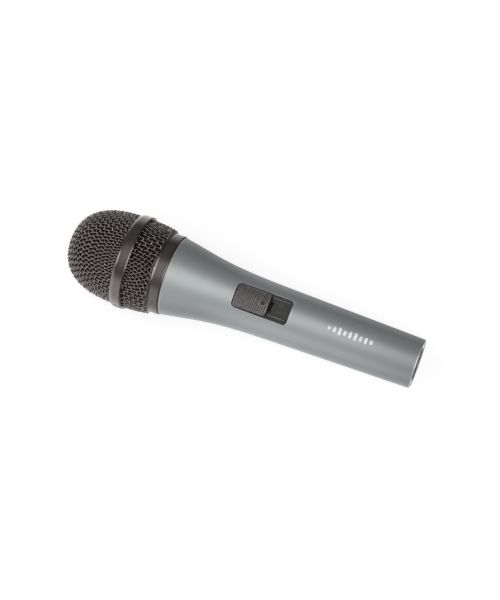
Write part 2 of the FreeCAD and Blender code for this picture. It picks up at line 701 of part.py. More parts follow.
# ---- the wires --------------------------------------------------------------------------------
def wire(points):
    """A round wire along straight runs joined by tangent arcs, as large as their runs allow."""
    corners = [Vector(*p) for p in points]
    edges = []
    start = corners[0]
    for before, corner, after in zip(corners, corners[1:], corners[2:]):
        into = corner - before
        out = after - corner
        turn = into.getAngle(out)
        cut = 0.45 * min(into.Length, out.Length)
        into.normalize()
        out.normalize()
        first = corner - into * cut
        last = corner + out * cut
        radius = cut / math.tan(turn / 2)
        inward = out - into
        inward.normalize()
        middle = corner + inward * (radius / math.cos(turn / 2) - radius)
        edges.append(line(start, first))
        edges.append(Part.Arc(first, middle, last).toShape())
        start = last
    edges.append(line(start, corners[-1]))
    path = Part.Wire(edges)
    way = corners[1] - corners[0]
    section = Part.Wire(Part.Circle(corners[0], way, WIRE_R).toShape())
    return path.makePipeShell([section], True, False)


def lug_foot():
    """The height at which a wire meets the capsule's solder lugs."""
    return CHAMBER_LOW - BOARD_T - LUG_L


def wire_pin_to_switch():
    x, y = pin_places()[1]
    under = TERMINAL_LOW_X - WIRE_R
    return wire([(x, y, PIN_CUP_TOP), (x, y, 30.0), (-1.5, -3.2, 42.0), (-3.0, -1.6, 56.0),
                 (under, 0, 66.0), (under, 0, TERMINALS_Z[0] + 0.6)])


def wire_pin_to_capsule():
    x, y = pin_places()[2]
    return wire([(x, y, PIN_CUP_TOP), (x, y, 32.0), (-5.5, -1.5, 48.0), (-5.8, -2.6, 66.0),
                 (-5.6, -3.2, 86.0), (-3.0, -4.6, 100.0), (0, -LUG_Y, 107.0), (0, -LUG_Y, lug_foot())])


def wire_switch_to_capsule():
    under = TERMINAL_LOW_X - WIRE_R
    return wire([(under, 0, TERMINALS_Z[2] - 0.6), (under, 0, 91.0), (-2.6, 2.0, 98.0),
                 (0, LUG_Y, 106.0), (0, LUG_Y, lug_foot())])


# ---- laying the microphone on the ground --------------------------------------------------------
def resting_tilt():
    """The axis's angle to the ground, from the tangent under the band and the tail's edge."""
    run = BAND_LOW + BAND_EDGE - TAIL_CHAMFER
    return math.atan2(BAND_R - TAIL_R, run)


def resting_place():
    """The placement from the microphone's own axis to the ground frame."""
    tilt = resting_tilt()
    turn = FreeCAD.Rotation(Vector(0, 1, 0), math.degrees(tilt) - 90.0)
    lift = TAIL_R * math.cos(tilt) - TAIL_CHAMFER * math.sin(tilt)
    tip = [dome_point(i / 60, 0) for i in range(60)] + [at(0, LENGTH)]
    head_x = min(-p.z * math.cos(tilt) - p.x * math.sin(tilt) for p in tip)
    tail_x = (TAIL_R - TAIL_CHAMFER) * math.sin(tilt)
    return FreeCAD.Placement(Vector(-(head_x + tail_x) / 2, 0, lift), turn)


PIECES = [
    handle_shell, neck_collar, neck_gasket,
    grille_mesh_front, grille_mesh_rear, grille_band, grille_base_ring, foam_windscreen,
    capsule_housing, resonator_cap, surround_clamp, diaphragm_surround, diaphragm_dome, voice_coil,
    yoke_cup, magnet, pole_piece, acoustic_felt, rear_chamber, terminal_board, solder_lugs,
    shock_mount, capsule_ring,
    switch_plate, switch_slider, switch_case, switch_lever, switch_contact, switch_board,
    switch_terminals, switch_bracket, bracket_screws,
    xlr_shell, contact_disc, xlr_pins, set_screw, ground_spring,
    wire_pin_to_switch, wire_pin_to_capsule, wire_switch_to_capsule,
]


def main():
    os.makedirs("parts", exist_ok=True)
    place = resting_place()
    print("tilt %.4f deg, place %s" % (math.degrees(resting_tilt()), place.Base))
    for piece in PIECES:
        shape = piece()
        if not shape.isValid() or not shape.Solids:
            raise RuntimeError(piece.__name__ + " is not a valid solid")
        shape.Placement = place.multiply(shape.Placement)
        shape.exportStep("parts/" + piece.__name__ + ".step")
        print("%-24s %2d solid(s) %10.2f mm3" % (piece.__name__, len(shape.Solids), shape.Volume))


main()
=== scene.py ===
"""The looks of a dynamic hand-held microphone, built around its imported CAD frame.

Pieces are drawn in the microphone's own millimetres, as the CAD part is: local Z runs from the tail
(z = 0) to the tip of the grille, and local +X is the side of the switch. LOCAL then lays each object
in the row frame, in metres.
"""

import bmesh
import bpy
import json
import math
import numpy as np
from mathutils import Matrix, Vector, noise


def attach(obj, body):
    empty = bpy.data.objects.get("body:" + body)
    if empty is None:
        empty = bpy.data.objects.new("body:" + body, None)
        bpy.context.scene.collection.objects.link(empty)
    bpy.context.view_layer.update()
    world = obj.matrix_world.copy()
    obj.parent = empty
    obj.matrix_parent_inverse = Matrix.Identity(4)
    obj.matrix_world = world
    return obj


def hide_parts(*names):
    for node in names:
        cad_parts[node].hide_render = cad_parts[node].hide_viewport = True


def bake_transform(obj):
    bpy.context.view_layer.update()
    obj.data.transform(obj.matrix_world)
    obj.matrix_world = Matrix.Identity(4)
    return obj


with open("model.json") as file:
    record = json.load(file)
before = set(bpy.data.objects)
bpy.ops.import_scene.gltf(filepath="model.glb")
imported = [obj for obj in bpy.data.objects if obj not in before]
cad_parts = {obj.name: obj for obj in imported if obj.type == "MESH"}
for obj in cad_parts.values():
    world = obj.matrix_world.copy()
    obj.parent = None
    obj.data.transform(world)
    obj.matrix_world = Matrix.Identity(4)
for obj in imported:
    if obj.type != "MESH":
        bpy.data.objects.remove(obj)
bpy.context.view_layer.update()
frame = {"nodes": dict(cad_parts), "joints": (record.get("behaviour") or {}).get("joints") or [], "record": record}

MM = 0.001


# ---- where the microphone lies ----
def from_record(rows, name):
    return next(row for row in rows if row["name"] == name)


OUT = Vector(from_record(frame["joints"], "switch_slide")["axis"]).normalized()
UP = -OUT                                       # along the axis, from the tail to the grille
ACROSS = Vector((0.0, 1.0, 0.0))
SIDE = ACROSS.cross(UP)                         # towards the switch
TAIL = Vector(from_record(frame["record"]["mounts"], "tail_face")["pos_m"])
TAIL.y = 0.0                                    # the tail face's centre
LOCAL = Matrix.Translation(TAIL) @ Matrix((SIDE, ACROSS, UP)).transposed().to_4x4()

# ---- driving dimensions, in millimetres, as the CAD part has them ----
TAIL_R = 12.2
TAIL_CHAMFER = 0.4
HANDLE_TOP = 125.8
HANDLE_LINE = [(TAIL_CHAMFER, TAIL_R), (12.7, 12.5), (31.7, 12.85), (50.9, 13.25), (65.4, 13.55),
               (80.2, 13.92), (90.0, 14.4), (100.0, 15.3), (110.0, 16.75), (120.0, 18.6),
               (HANDLE_TOP, 19.6)]
INSERT_BORE_R = 10.4
INSERT_BORE_L = 20.0
CAVITY = [(20.8, 11.2), (88.0, 11.2), (101.0, 13.2), (113.4, 15.0)]
GASKET_R = 19.2
COLLAR_LOW = 113.4
COLLAR_TOP = 131.6
COLLAR_SKIRT_R = 16.2
COLLAR_BORE_R = 15.0
COLLAR_LIP_R = 12.6
COLLAR_LIP_T = 1.6
THREAD_R = 17.4
THREAD_PITCH = 1.0
THREAD_DEPTH = 0.45

RING_LOW = 126.3
RING_TOP = 132.1
RING_LOW_R = 20.0
RING_TOP_R = 20.9
BAND_LOW = 144.3
BAND_BEVEL_Z = 148.3
BAND_TOP = 150.4
BAND_R = 23.75
BAND_TOP_R = 22.9
BAND_BORE_R = 22.6
MESH_SEAM = 147.2
MESH_T = 1.3
DOME_LOW = 148.0
DOME_R = 22.5
DOME_POWER = 2.56
DOME_TIP = 179.8
REAR_LINE = [(RING_TOP, 21.3), (137.5, 22.15), (MESH_SEAM, DOME_R)]
FOAM_T = 3.4
FOAM_LOW = 134.3

SLOT_LOW = 64.1
SLOT_TOP = 92.3
SLOT_W = 12.5
SLOT_CORNER_R = 1.9
PLATE_TOP_X = 11.5
RAIL_YS = (-4.15, 4.6)
RAIL_W = 0.8
RAIL_H = 0.5
SLIDER_LOW = 75.2
SLIDER_TOP = 91.7
SLIDER_W = 11.8
SLIDER_CORNER_R = 1.3
SLIDER_PROUD = 0.15
SLIDER_FLOOR_X = 12.06
SHADOW_STRIP_L = 0.85
SHADOW_STRIP_W = 9.4
RIB_PITCH = 1.0
DIMPLE_HALF_L = 1.4
DIMPLE_HALF_W = 1.15
DIMPLE_Z = 78.0
DIMPLE_Y = 0.25
DIMPLE_DEPTH = 0.9
KNURL_ROW = 1.25
KNURL_LEAN = math.radians(20)
KNURL_DEPTH = 0.45

DIAPHRAGM_R = 8.5
FILM_T = 0.2
SEAT_Z = 145.0          # where the surround's rim is clamped
SEAT_R = 11.6
SURROUND_RIM_R = 12.2
ROLL_H = 0.7
ROLL_SECTORS = 12
ROLL_STEPS = 32         # columns in each sector
ROLL_PLEATS = 48        # in the whole turn
PLEAT_H = 0.05

MARK_LOW = 23.2
MARK_STEP = 2.62
MARK_BAR_W = 1.5

# ---- the woven grille ----
CRIMP = 0.41            # how far a wire swings each side of the cloth's middle
SKIN_DEPTH = 0.45       # from the grille's outside to the middle of the cloth
FRONT_CLOTH = {"pitch": 2.15, "hold": 0.63, "stretch": 1.0, "turn": math.radians(35), "start": 0.0,
               "reach": 52.0, "wire_r": 0.26}
REAR_CLOTH = {"pitch": 2.05, "hold": 0.32, "stretch": 1.14, "turn": math.radians(22), "start": 20.9,
              "reach": 37.0, "wire_r": 0.24}

TURN_STEPS = 256


# ---- mesh helpers ----
def unit(v):
    return v / np.linalg.norm(v, axis=-1, keepdims=True)


def quads(rows, cols, wrap_rows=False, wrap_cols=True, start=0):
    """The quads of a grid of points that are numbered row by row."""
    i = np.arange(rows if wrap_rows else rows - 1)[:, None]
    j = np.arange(cols if wrap_cols else cols - 1)[None, :]
    i2 = (i + 1) % rows
    j2 = (j + 1) % cols
    corners = np.stack([i * cols + j, i * cols + j2, i2 * cols + j2, i2 * cols + j], -1)
    return (corners.reshape(-1, 4) + start).tolist()


def piece(name, points, faces, body, slot, stands_for=(), finish=None, tidy=True):
    """A smooth mesh from local millimetres, on its body, with the CAD nodes it replaces.

    Its finish is the one its slot names, unless another is given.
    """
    mesh = bpy.data.meshes.new(name)
    mesh.from_pydata((np.asarray(points, float) * MM).tolist(), [], faces)
    if tidy:
        bm = bmesh.new()
        bm.from_mesh(mesh)
        bmesh.ops.remove_doubles(bm, verts=bm.verts, dist=1e-7)
        bmesh.ops.recalc_face_normals(bm, faces=bm.faces)
        bm.to_mesh(mesh)
        bm.free()
    mesh.shade_smooth()
    mesh.materials.append(FINISHES[finish or slot])
    obj = bpy.data.objects.new(name, mesh)
    bpy.context.scene.collection.objects.link(obj)
    obj.matrix_world = LOCAL
    if body:
        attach(obj, body)
    if stands_for:
        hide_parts(*stands_for)
    return obj


def turned(outline, steps=TURN_STEPS, centre=(0.0, 0.0)):
    """A closed outline of (r, z) points, turned about the axis or about a line beside it."""
    r, z = np.asarray(outline, float).T
    turn = np.linspace(0, 2 * math.pi, steps, endpoint=False)
    x = centre[0] + r[:, None] * np.cos(turn)
    y = centre[1] + r[:, None] * np.sin(turn)
    points = np.stack([x, y, z[:, None] + 0 * turn], -1).reshape(-1, 3)
    return points, quads(len(r), steps, wrap_rows=True)


def bridged(previous, current):
    """The quads between two closed loops of points, given by their numbers."""
    turn = len(previous)
    return [(previous[k], previous[(k + 1) % turn], current[(k + 1) % turn], current[k]) for k in range(turn)]


def grid_border(rows, columns):
    """The points round the edge of a grid, in order, as (row, column) pairs."""
    border = [(rows[0], j) for j in columns[:-1]]
    border += [(i, columns[-1]) for i in rows[:-1]]
    border += [(rows[-1], j) for j in columns[:0:-1]]
    return border + [(i, columns[0]) for i in rows[:0:-1]]


def arc_between(first, middle, last, steps=8):
    """Points of the arc through three (r, z) points."""
    (ax, ay), (bx, by), (cx, cy) = first, middle, last
    d = 2 * (ax * (by - cy) + bx * (cy - ay) + cx * (ay - by))
    ux = ((ax ** 2 + ay ** 2) * (by - cy) + (bx ** 2 + by ** 2) * (cy - ay)
          + (cx ** 2 + cy ** 2) * (ay - by)) / d
    uy = ((ax ** 2 + ay ** 2) * (cx - bx) + (bx ** 2 + by ** 2) * (ax - cx)
          + (cx ** 2 + cy ** 2) * (bx - ax)) / d
    radius = math.hypot(ax - ux, ay - uy)
    start = math.atan2(ay - uy, ax - ux)
    end = math.atan2(cy - uy, cx - ux)
    return [(ux + radius * math.cos(a), uy + radius * math.sin(a))
            for a in np.linspace(start, end, steps + 1)]


def softened(corners, steps=5):
    """A closed outline through (r, z, radius) corners, each rounded by an arc with a short lead each side."""
    outline = []
    for k, (r, z, radius) in enumerate(corners):
        here = np.array([r, z])
        if radius == 0:
            outline.append(here)
            continue
        back = unit(np.array(corners[k - 1][:2]) - here)
        ahead = unit(np.array(corners[(k + 1) % len(corners)][:2]) - here)
        half = math.acos(np.clip(back @ ahead, -1, 1)) / 2
        reach = radius / math.tan(half)
        centre = here + unit(back + ahead) * radius / math.sin(half)
        first = here + back * reach - centre
        last = here + ahead * reach - centre
        swing = math.pi - 2 * half
        outline.append(here + back * (reach + 0.4 * radius))
        for i in range(steps + 1):
            t = i / steps
            arm = (first * math.sin((1 - t) * swing) + last * math.sin(t * swing)) / math.sin(swing)
            outline.append(centre + arm)
        outline.append(here + ahead * (reach + 0.4 * radius))
    return outline


def points_of(obj):
    """The x, y and z of a piece's points, in local millimetres."""
    return np.array([v.co for v in obj.data.vertices]).T / MM


def paint_on(obj, name, values):
    """Gives each of a piece's points a value, which its finish reads by name."""
    layer = obj.data.attributes.new(name, "FLOAT", "POINT")
    layer.data.foreach_set("value", values.astype(np.float32))


def cubic(knots, x):
    """A natural cubic spline through (x, y) knots."""
    kx, ky = np.array(knots, float).T
    h = np.diff(kx)
    n = len(kx)
    matrix = np.eye(n)
    right = np.zeros(n)
    for i in range(1, n - 1):
        matrix[i, i - 1:i + 2] = h[i - 1], 2 * (h[i - 1] + h[i]), h[i]
        right[i] = 6 * ((ky[i + 1] - ky[i]) / h[i] - (ky[i] - ky[i - 1]) / h[i - 1])
    bend = np.linalg.solve(matrix, right)
    x = np.asarray(x, float)
    i = np.clip(np.searchsorted(kx, x) - 1, 0, n - 2)
    a = (kx[i + 1] - x) / h[i]
    b = (x - kx[i]) / h[i]
    return a * ky[i] + b * ky[i + 1] + ((a ** 3 - a) * bend[i] + (b ** 3 - b) * bend[i + 1]) * h[i] ** 2 / 6


def handle_r(z):
    """The handle's outer radius at a height."""
    return cubic(HANDLE_LINE, z)


# ---- material helpers ----
def feed(node, inputs):
    """Sets a node's inputs, by name or number: an output is joined on, and a colour is made opaque."""
    for key, value in inputs.items():
        socket = node.inputs[key]
        if isinstance(value, bpy.types.NodeSocket):
            node.id_data.links.new(value, socket)
        else:
            socket.default_value = (*value, 1.0) if socket.type == "RGBA" else value


def add(made, kind, inputs=None, **settings):
    """A new node, with its settings and then its inputs."""
    node = made.node_tree.nodes.new(kind)
    for key, value in settings.items():
        setattr(node, key, value)
    feed(node, inputs or {})
    return node


def shade(made, inputs):
    """Feeds a material's own shader."""
    feed(made.node_tree.nodes["Principled BSDF"], inputs)


def material(name, colour, metallic=0.0, roughness=0.5, **inputs):
    """A Principled material. Other inputs are given by name, with _ for a space."""
    made = bpy.data.materials.new(name)
    made.use_nodes = True
    shade(made, {"Base Color": colour, "Metallic": metallic, "Roughness": roughness})
    shade(made, {key.replace("_", " "): value for key, value in inputs.items()})
    return made


def stretched(made, scale=(1, 1, 1)):
    """The piece's own coordinates, in metres, multiplied by a scale along each of its axes."""
    where = add(made, "ShaderNodeTexCoord").outputs["Object"]
    return add(made, "ShaderNodeMapping", {"Scale": scale, "Vector": where}).outputs["Vector"]


def noise_of(made, scale, detail=3.0, stretch=(1, 1, 1)):
    """A noise of so many features a metre."""
    inputs = {"Scale": scale, "Detail": detail, "Vector": stretched(made, stretch)}
    return add(made, "ShaderNodeTexNoise", inputs).outputs["Fac"]


def spread(made, value, low=0.0, high=1.0, start=0.3, end=0.7):
    """A value between start and end, spread over low to high."""
    inputs = {"Value": value, "From Min": start, "From Max": end, "To Min": low, "To Max": high}
    return add(made, "ShaderNodeMapRange", inputs).outputs["Result"]


def tinted(made, value, first, last):
    """A colour between two by a value from 0 to 1. Either may be another node's output."""
    inputs = {"Factor": value, "A": first, "B": last}
    return add(made, "ShaderNodeMix", inputs, data_type="RGBA").outputs["Result"]


def marked(made, name):
    """The value that paint_on gave to the piece's points."""
    return add(made, "ShaderNodeAttribute", attribute_name=name).outputs["Fac"]


def bumped(made, heights):
    """Adds bumps to a material, each a (height, depth in metres) pair, one on top of another."""
    under = {}
    for height, depth in heights:
        bump = add(made, "ShaderNodeBump", {"Distance": depth, "Height": height, **under})
        under = {"Normal": bump.outputs["Normal"]}
    shade(made, under)


def speckled(made, first, last, scale, low_rough, high_rough, bump_scale, depth):
    """The usual detail of a plain surface: a faint change of colour, of gloss and a fine grain."""
    patches = noise_of(made, scale)
    shade(made, {"Base Color": tinted(made, spread(made, patches), first, last),
                 "Roughness": spread(made, patches, low_rough, high_rough)})
    bumped(made, [(noise_of(made, bump_scale, detail=2.0), depth)])
    return made


# ---- finishes ----
def handle_paint():
    """Satin metallic grey paint: a fine flake, a faint orange peel, bare metal along chipped edges, and a painted
    highlight in the bare metal's colour at the slot's tail end.
    """
    made = material("handle_paint", (0.425, 0.448, 0.45), metallic=0.85, roughness=0.42)
    flake = noise_of(made, 9000, detail=1.0)
    paint = tinted(made, spread(made, flake), (0.395, 0.418, 0.42), (0.455, 0.478, 0.48))
    chips = spread(made, noise_of(made, 1400, detail=4.0), start=0.35, end=0.65)
    factors = {0: marked(made, "bare_metal_and_highlight"), 1: chips}
    bare_colour_share = add(made, "ShaderNodeMath", factors, operation="MULTIPLY", use_clamp=True).outputs[0]
    # bare metal colour: chipped paint at the edges, and a painted highlight at the slot's tail end
    shade(made, {"Base Color": tinted(made, bare_colour_share, paint, (0.72, 0.70, 0.67)),
                 "Roughness": spread(made, noise_of(made, 350), 0.40, 0.44)})
    bumped(made, [(noise_of(made, 2600, detail=2.0), 6e-6), (flake, 2.5e-6)])
    return made


def dark_nickel():
    """Dark plated metal, turned: fine rings about the axis under the plating."""
    made = material("dark_nickel", (0.2, 0.18, 0.175), metallic=1.0, roughness=0.2)
    rings = noise_of(made, 1.0, detail=4.0, stretch=(60, 60, 14000))
    plating = tinted(made, spread(made, rings), (0.120, 0.1055, 0.100), (0.141, 0.124, 0.118))
    shade(made, {"Base Color": plating, "Roughness": spread(made, noise_of(made, 500), 0.17, 0.26)})
    bumped(made, [(rings, 1.2e-6)])
    return made


def mesh_wire():
    """Steel wire under thin grey-black lacquer, with paler metal where the lacquer is abraded."""
    made = material("mesh_wire", (0.27, 0.26, 0.255), metallic=1.0, roughness=0.25)
    return speckled(made, (0.213, 0.195, 0.190), (0.333, 0.308, 0.300), 900, 0.20, 0.30, 6000, 4e-6)


def foam():
    """Dark open foam, pitted by its cells, each cell darker towards its middle as painted shade in the pits."""
    made = material("foam", (0.012, 0.010, 0.009), roughness=0.95, Specular_IOR_Level=0.2)
    cells = add(made, "ShaderNodeTexVoronoi", {"Scale": 1800, "Vector": stretched(made)}).outputs["Distance"]
    wall = spread(made, cells, start=0.1, end=0.6)
    # painted shade: darker towards each cell's middle, in the pits, and lighter at the cell walls
    shade(made, {"Base Color": tinted(made, wall, (0.012, 0.0065, 0.0055), (0.034, 0.020, 0.017))})
    bumped(made, [(cells, 2.5e-4)])
    return made


def slider_metal():
    """Cast metal with a warm grey plating, its knurl's grooves and its dimple darkened towards near black as
    painted shade.
    """
    made = material("slider_metal", (0.2, 0.183, 0.18), metallic=0.75, roughness=0.42)
    patches = noise_of(made, 420)
    crests = tinted(made, spread(made, patches), (0.205, 0.188, 0.184), (0.30, 0.277, 0.272))
    # painted shade: near black in the knurl's grooves and the dimple, by the value painted on the slider's points
    shade(made, {"Base Color": tinted(made, marked(made, "groove_shade"), crests, (0.02, 0.017, 0.016)),
                 "Roughness": spread(made, patches, 0.36, 0.48)})
    bumped(made, [(noise_of(made, 5200, detail=2.0), 5e-6)])
    return made


def switch_plastic():
    """Black moulded plastic, scuffed grey in streaks along the slider's way."""
    made = material("switch_plastic", (0.024, 0.024, 0.022), roughness=0.45)
    streaks = noise_of(made, 1.0, stretch=(900, 2600, 500))
    scuffs = spread(made, streaks, start=0.4)
    shade(made, {"Base Color": tinted(made, scuffs, (0.015, 0.015, 0.0145), (0.05, 0.049, 0.047)),
                 "Roughness": spread(made, streaks, 0.36, 0.55)})
    bumped(made, [(noise_of(made, 4000, detail=2.0), 1.6e-5)])
    return made


def plain(name, colour, metallic, roughness, grain=4000, depth=4e-6):
    """A small part's finish: its colour a little uneven, and a fine grain."""
    made = material(name, colour, metallic=metallic, roughness=roughness)
    darker = tuple(0.85 * c for c in colour)
    lighter = tuple(min(1.0, 1.12 * c) for c in colour)
    return speckled(made, darker, lighter, 500, 0.85 * roughness, min(1.0, 1.15 * roughness), grain, depth)


def brushed(name, colour, roughness, stretch=(60, 60, 9000)):
    """Turned or drawn metal, its marks running round or along the part."""
    made = material(name, colour, metallic=1.0, roughness=roughness)
    marks = noise_of(made, 1.0, stretch=stretch)
    shade(made, {"Roughness": spread(made, marks, 0.8 * roughness, 1.25 * roughness)})
    bumped(made, [(marks, 2e-6)])
    return made


FINISHES = {finish.__name__: finish()
            for finish in (handle_paint, dark_nickel, mesh_wire, foam, slider_metal, switch_plastic)}
# colour, metallic and roughness, then the grain and its depth where they aren't the usual ones
PLAIN_FINISHES = {
    # rail_plastic is lighter than the switch plate, for the strips that paint a highlight on its rails
    "rail_plastic": ((0.15, 0.148, 0.145), 0.0, 0.3, 5000),
    "mark_plastic": ((0.07, 0.068, 0.066), 0.0, 0.3, 5000),
    "print_white": ((0.93, 0.93, 0.93), 0.0, 0.45, 6000, 2e-6),
    "black_rubber": ((0.018, 0.018, 0.018), 0.0, 0.7, 3000, 1.2e-5),
    # black_felt is also the near-black finish of the strip under the slider's tail end, which is a painted shadow
    "black_felt": ((0.004, 0.004, 0.004), 0.0, 1.0, 5000, 3e-5),
    "connector_plastic": ((0.022, 0.022, 0.023), 0.0, 0.45, 5000, 6e-6),
    "tinned_brass": ((0.72, 0.70, 0.66), 1.0, 0.35),
    "capsule_plastic": ((0.035, 0.035, 0.037), 0.0, 0.42),
    "film": ((0.62, 0.60, 0.52), 0.0, 0.25),
    "magnet_nickel": ((0.62, 0.61, 0.59), 1.0, 0.18),
    "felt": ((0.42, 0.40, 0.36), 0.0, 0.95, 9000, 6e-5),
    "fibre_board": ((0.34, 0.18, 0.08), 0.0, 0.6),
    "wire_red": ((0.42, 0.02, 0.015), 0.0, 0.42, 2500, 6e-6),
    "wire_white": ((0.70, 0.69, 0.65), 0.0, 0.42, 2500, 6e-6),
}
# colour and roughness, then how the marks are stretched where that isn't round the part
BRUSHED_FINISHES = {
    "brass": ((0.78, 0.60, 0.30), 0.28),
    "bright_nickel": ((0.66, 0.64, 0.61), 0.22),
    "cap_metal": ((0.58, 0.57, 0.55), 0.3),
    "coil_wire": ((0.72, 0.36, 0.20), 0.33, (60, 60, 16000)),
    "magnet_steel": ((0.46, 0.46, 0.46), 0.32),
    "bracket_steel": ((0.55, 0.55, 0.54), 0.34, (9000, 60, 60)),
}
FINISHES.update({name: plain(name, *values) for name, values in PLAIN_FINISHES.items()})
FINISHES.update({name: brushed(name, *values) for name, values in BRUSHED_FINISHES.items()})


def finish_cad_nodes():
    """Every CAD node that stays gets the finish that its slot names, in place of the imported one."""
    for node in frame["nodes"].values():
        for place in node.material_slots:
            slot = place.material.name.split(".")[0]
            place.material = FINISHES[slot]


# ---- the handle ----
WINDOW_ANGLE = math.radians(40)     # half the width of the patch that holds the slot
WINDOW_COLS = 44
WINDOW_LOW = SLOT_LOW - 2.5
WINDOW_TOP = SLOT_TOP + 2.5
WINDOW_ROWS = 66
RIM_R = 0.28                        # the rounding of the slot's edge


def cavity_r(z):
    rows = np.array(CAVITY)
    return np.interp(z, rows[:, 0], rows[:, 1])


def handle_chain():
    """The closed section of the handle, with one stretch of rows each side where the slot goes through."""
    window = np.linspace(WINDOW_LOW, WINDOW_TOP, WINDOW_ROWS + 1)
    below = np.linspace(0.9, WINDOW_LOW, 48)[:-1]
    above = np.linspace(WINDOW_TOP, HANDLE_TOP, 30)[1:]
    chain = softened([(INSERT_BORE_R, 0.0, 0.15), (TAIL_R - TAIL_CHAMFER, 0.0, 0.12),
                      (TAIL_R, TAIL_CHAMFER, 0.25), (float(handle_r(3.0)), 3.0, 0)])[:-1]
    chain = [tuple(p) for p in chain]
    chain += [(float(handle_r(z)), z) for z in below]
    outer_start = len(chain)
    chain += [(float(handle_r(z)), z) for z in window]
    chain += [(float(handle_r(z)), z) for z in above]
    top_r = HANDLE_LINE[-1][1]
    edge = 0.22
    lip_top = HANDLE_TOP + 0.32
    chain += [(top_r - edge * (1 - math.cos(a)), lip_top - edge * (1 - math.sin(a)))
              for a in np.linspace(0, math.pi / 2, 6)]
    chain += [(GASKET_R + 0.03, lip_top), (GASKET_R + 0.03, HANDLE_TOP), (COLLAR_SKIRT_R + 0.2, HANDLE_TOP),
              (COLLAR_SKIRT_R, HANDLE_TOP - 0.2),
              (COLLAR_SKIRT_R, COLLAR_LOW), (cavity_r(COLLAR_LOW), COLLAR_LOW),
              (cavity_r(101.0), 101.0), (cavity_r(WINDOW_TOP + 1.0), WINDOW_TOP + 1.0)]
    inner_start = len(chain)
    chain += [(cavity_r(z), z) for z in window[::-1]]
    chain += [(cavity_r(40.0), 40.0), (cavity_r(21.0), 21.0), (INSERT_BORE_R, INSERT_BORE_L),
              (INSERT_BORE_R, 1.0)]
    return np.array(chain, float), outer_start, inner_start


def slot_edge(y, z):
    """The point of the slot's outline that faces a point outside it, and the way out from there."""
    core_y = SLOT_W / 2 - SLOT_CORNER_R
    low = SLOT_LOW + SLOT_CORNER_R
    top = SLOT_TOP - SLOT_CORNER_R
    core = np.stack([np.clip(y, -core_y, core_y), np.clip(z, low, top)], -1)
    way = unit(np.stack([y, z], -1) - core)
    return core + SLOT_CORNER_R * way, way


def handle():
    """The painted shell: a turned skin, with the slot's rolled edge and walls let into its window."""
    chain, outer_start, inner_start = handle_chain()
    inside = np.linspace(-WINDOW_ANGLE, WINDOW_ANGLE, WINDOW_COLS + 1)
    outside = np.linspace(WINDOW_ANGLE, 2 * math.pi - WINDOW_ANGLE, 150)[1:-1]
    turn = np.concatenate([inside, outside])
    cols = len(turn)
    r, z = chain.T
    grid = np.stack([r[:, None] * np.cos(turn), r[:, None] * np.sin(turn), z[:, None] + 0 * turn], -1)
    points = [tuple(p) for p in grid.reshape(-1, 3)]
    open_rows = {first + k for first in (outer_start, inner_start) for k in range(WINDOW_ROWS)}
    faces = [face for k, face in enumerate(quads(len(chain), cols, wrap_rows=True))
             if k // cols not in open_rows or k % cols >= WINDOW_COLS]

    columns = range(WINDOW_COLS + 1)
    outer = grid_border(range(outer_start, outer_start + WINDOW_ROWS + 1), columns)
    inner = grid_border(range(inner_start + WINDOW_ROWS, inner_start - 1, -1), columns)
    start = grid[tuple(np.array(outer).T)]
    edge, way = slot_edge(start[:, 1], start[:, 2])
    rim = edge + RIM_R * way
    loops = []
    for t in (0.3, 0.6, 0.85, 1.0):
        flat = start[:, 1:] * (1 - t) + rim * t
        loops.append(on_handle(flat))
    for a in np.radians([15, 35, 55, 75, 90]):
        flat = edge + RIM_R * (1 - math.sin(a)) * way
        loops.append(on_handle(flat, RIM_R * (1 - math.cos(a))))
    for share in (0.15, 0.6, 1.0):
        outer_x = on_handle(edge, RIM_R)[:, 0]
        inner_x = np.sqrt(cavity_r(edge[:, 1]) ** 2 - edge[:, 0] ** 2)
        loops.append(np.column_stack([outer_x * (1 - share) + inner_x * share, edge]))

    previous = [i * cols + j for i, j in outer]
    for loop in loops:
        current = range(len(points), len(points) + len(loop))
        points += [tuple(p) for p in loop]
        faces += bridged(previous, current)
        previous = current
    faces += bridged(previous, [i * cols + j for i, j in inner])
    obj = piece("handle", points, faces, "handle", "handle_paint", ["handle_shell"])
    mark_bare_metal(obj)
    return obj


def on_handle(flat, depth=0.0):
    """Points over the switch side of the handle's surface, from their (y, z)."""
    y, z = flat.T
    return np.column_stack([np.sqrt(handle_r(z) ** 2 - y ** 2) - depth, y, z])


def mark_bare_metal(obj):
    """How much bare metal shows at each point: most at the tail's edge, a little at the slot's rim and the top
    where the paint is chipped, and a painted highlight of bare metal at the slot's tail end.
    """
    x, y, z = points_of(obj)
    tail = np.clip(1 - np.abs(z - 0.25) / 0.45, 0, 1) * (np.hypot(x, y) > TAIL_R - 1.0)
    away = np.abs(rounded_rect(y, z, SLOT_W / 2, SLOT_LOW, SLOT_TOP, SLOT_CORNER_R))
    near_slot = (x > 11.8) & (np.abs(y) < SLOT_W / 2 + 0.5) & (z > SLOT_LOW - 1.0) & (z < SLOT_TOP + 0.5)
    rim = 0.55 * np.clip(1 - np.abs(away - RIM_R / 2) / 0.3, 0, 1) * near_slot
    # painted highlight: bare metal colour at the slot's tail end, for the light that edge catches
    painted_highlight = np.clip(1.2 - away / 0.8, 0, 1) * near_slot * (z < SLOT_LOW + 0.3)
    top = np.clip(1 - np.abs(z - HANDLE_TOP + 0.1) / 0.3, 0, 1)
    paint_on(obj, "bare_metal_and_highlight", np.maximum.reduce([tail, rim, painted_highlight, 0.4 * top]))


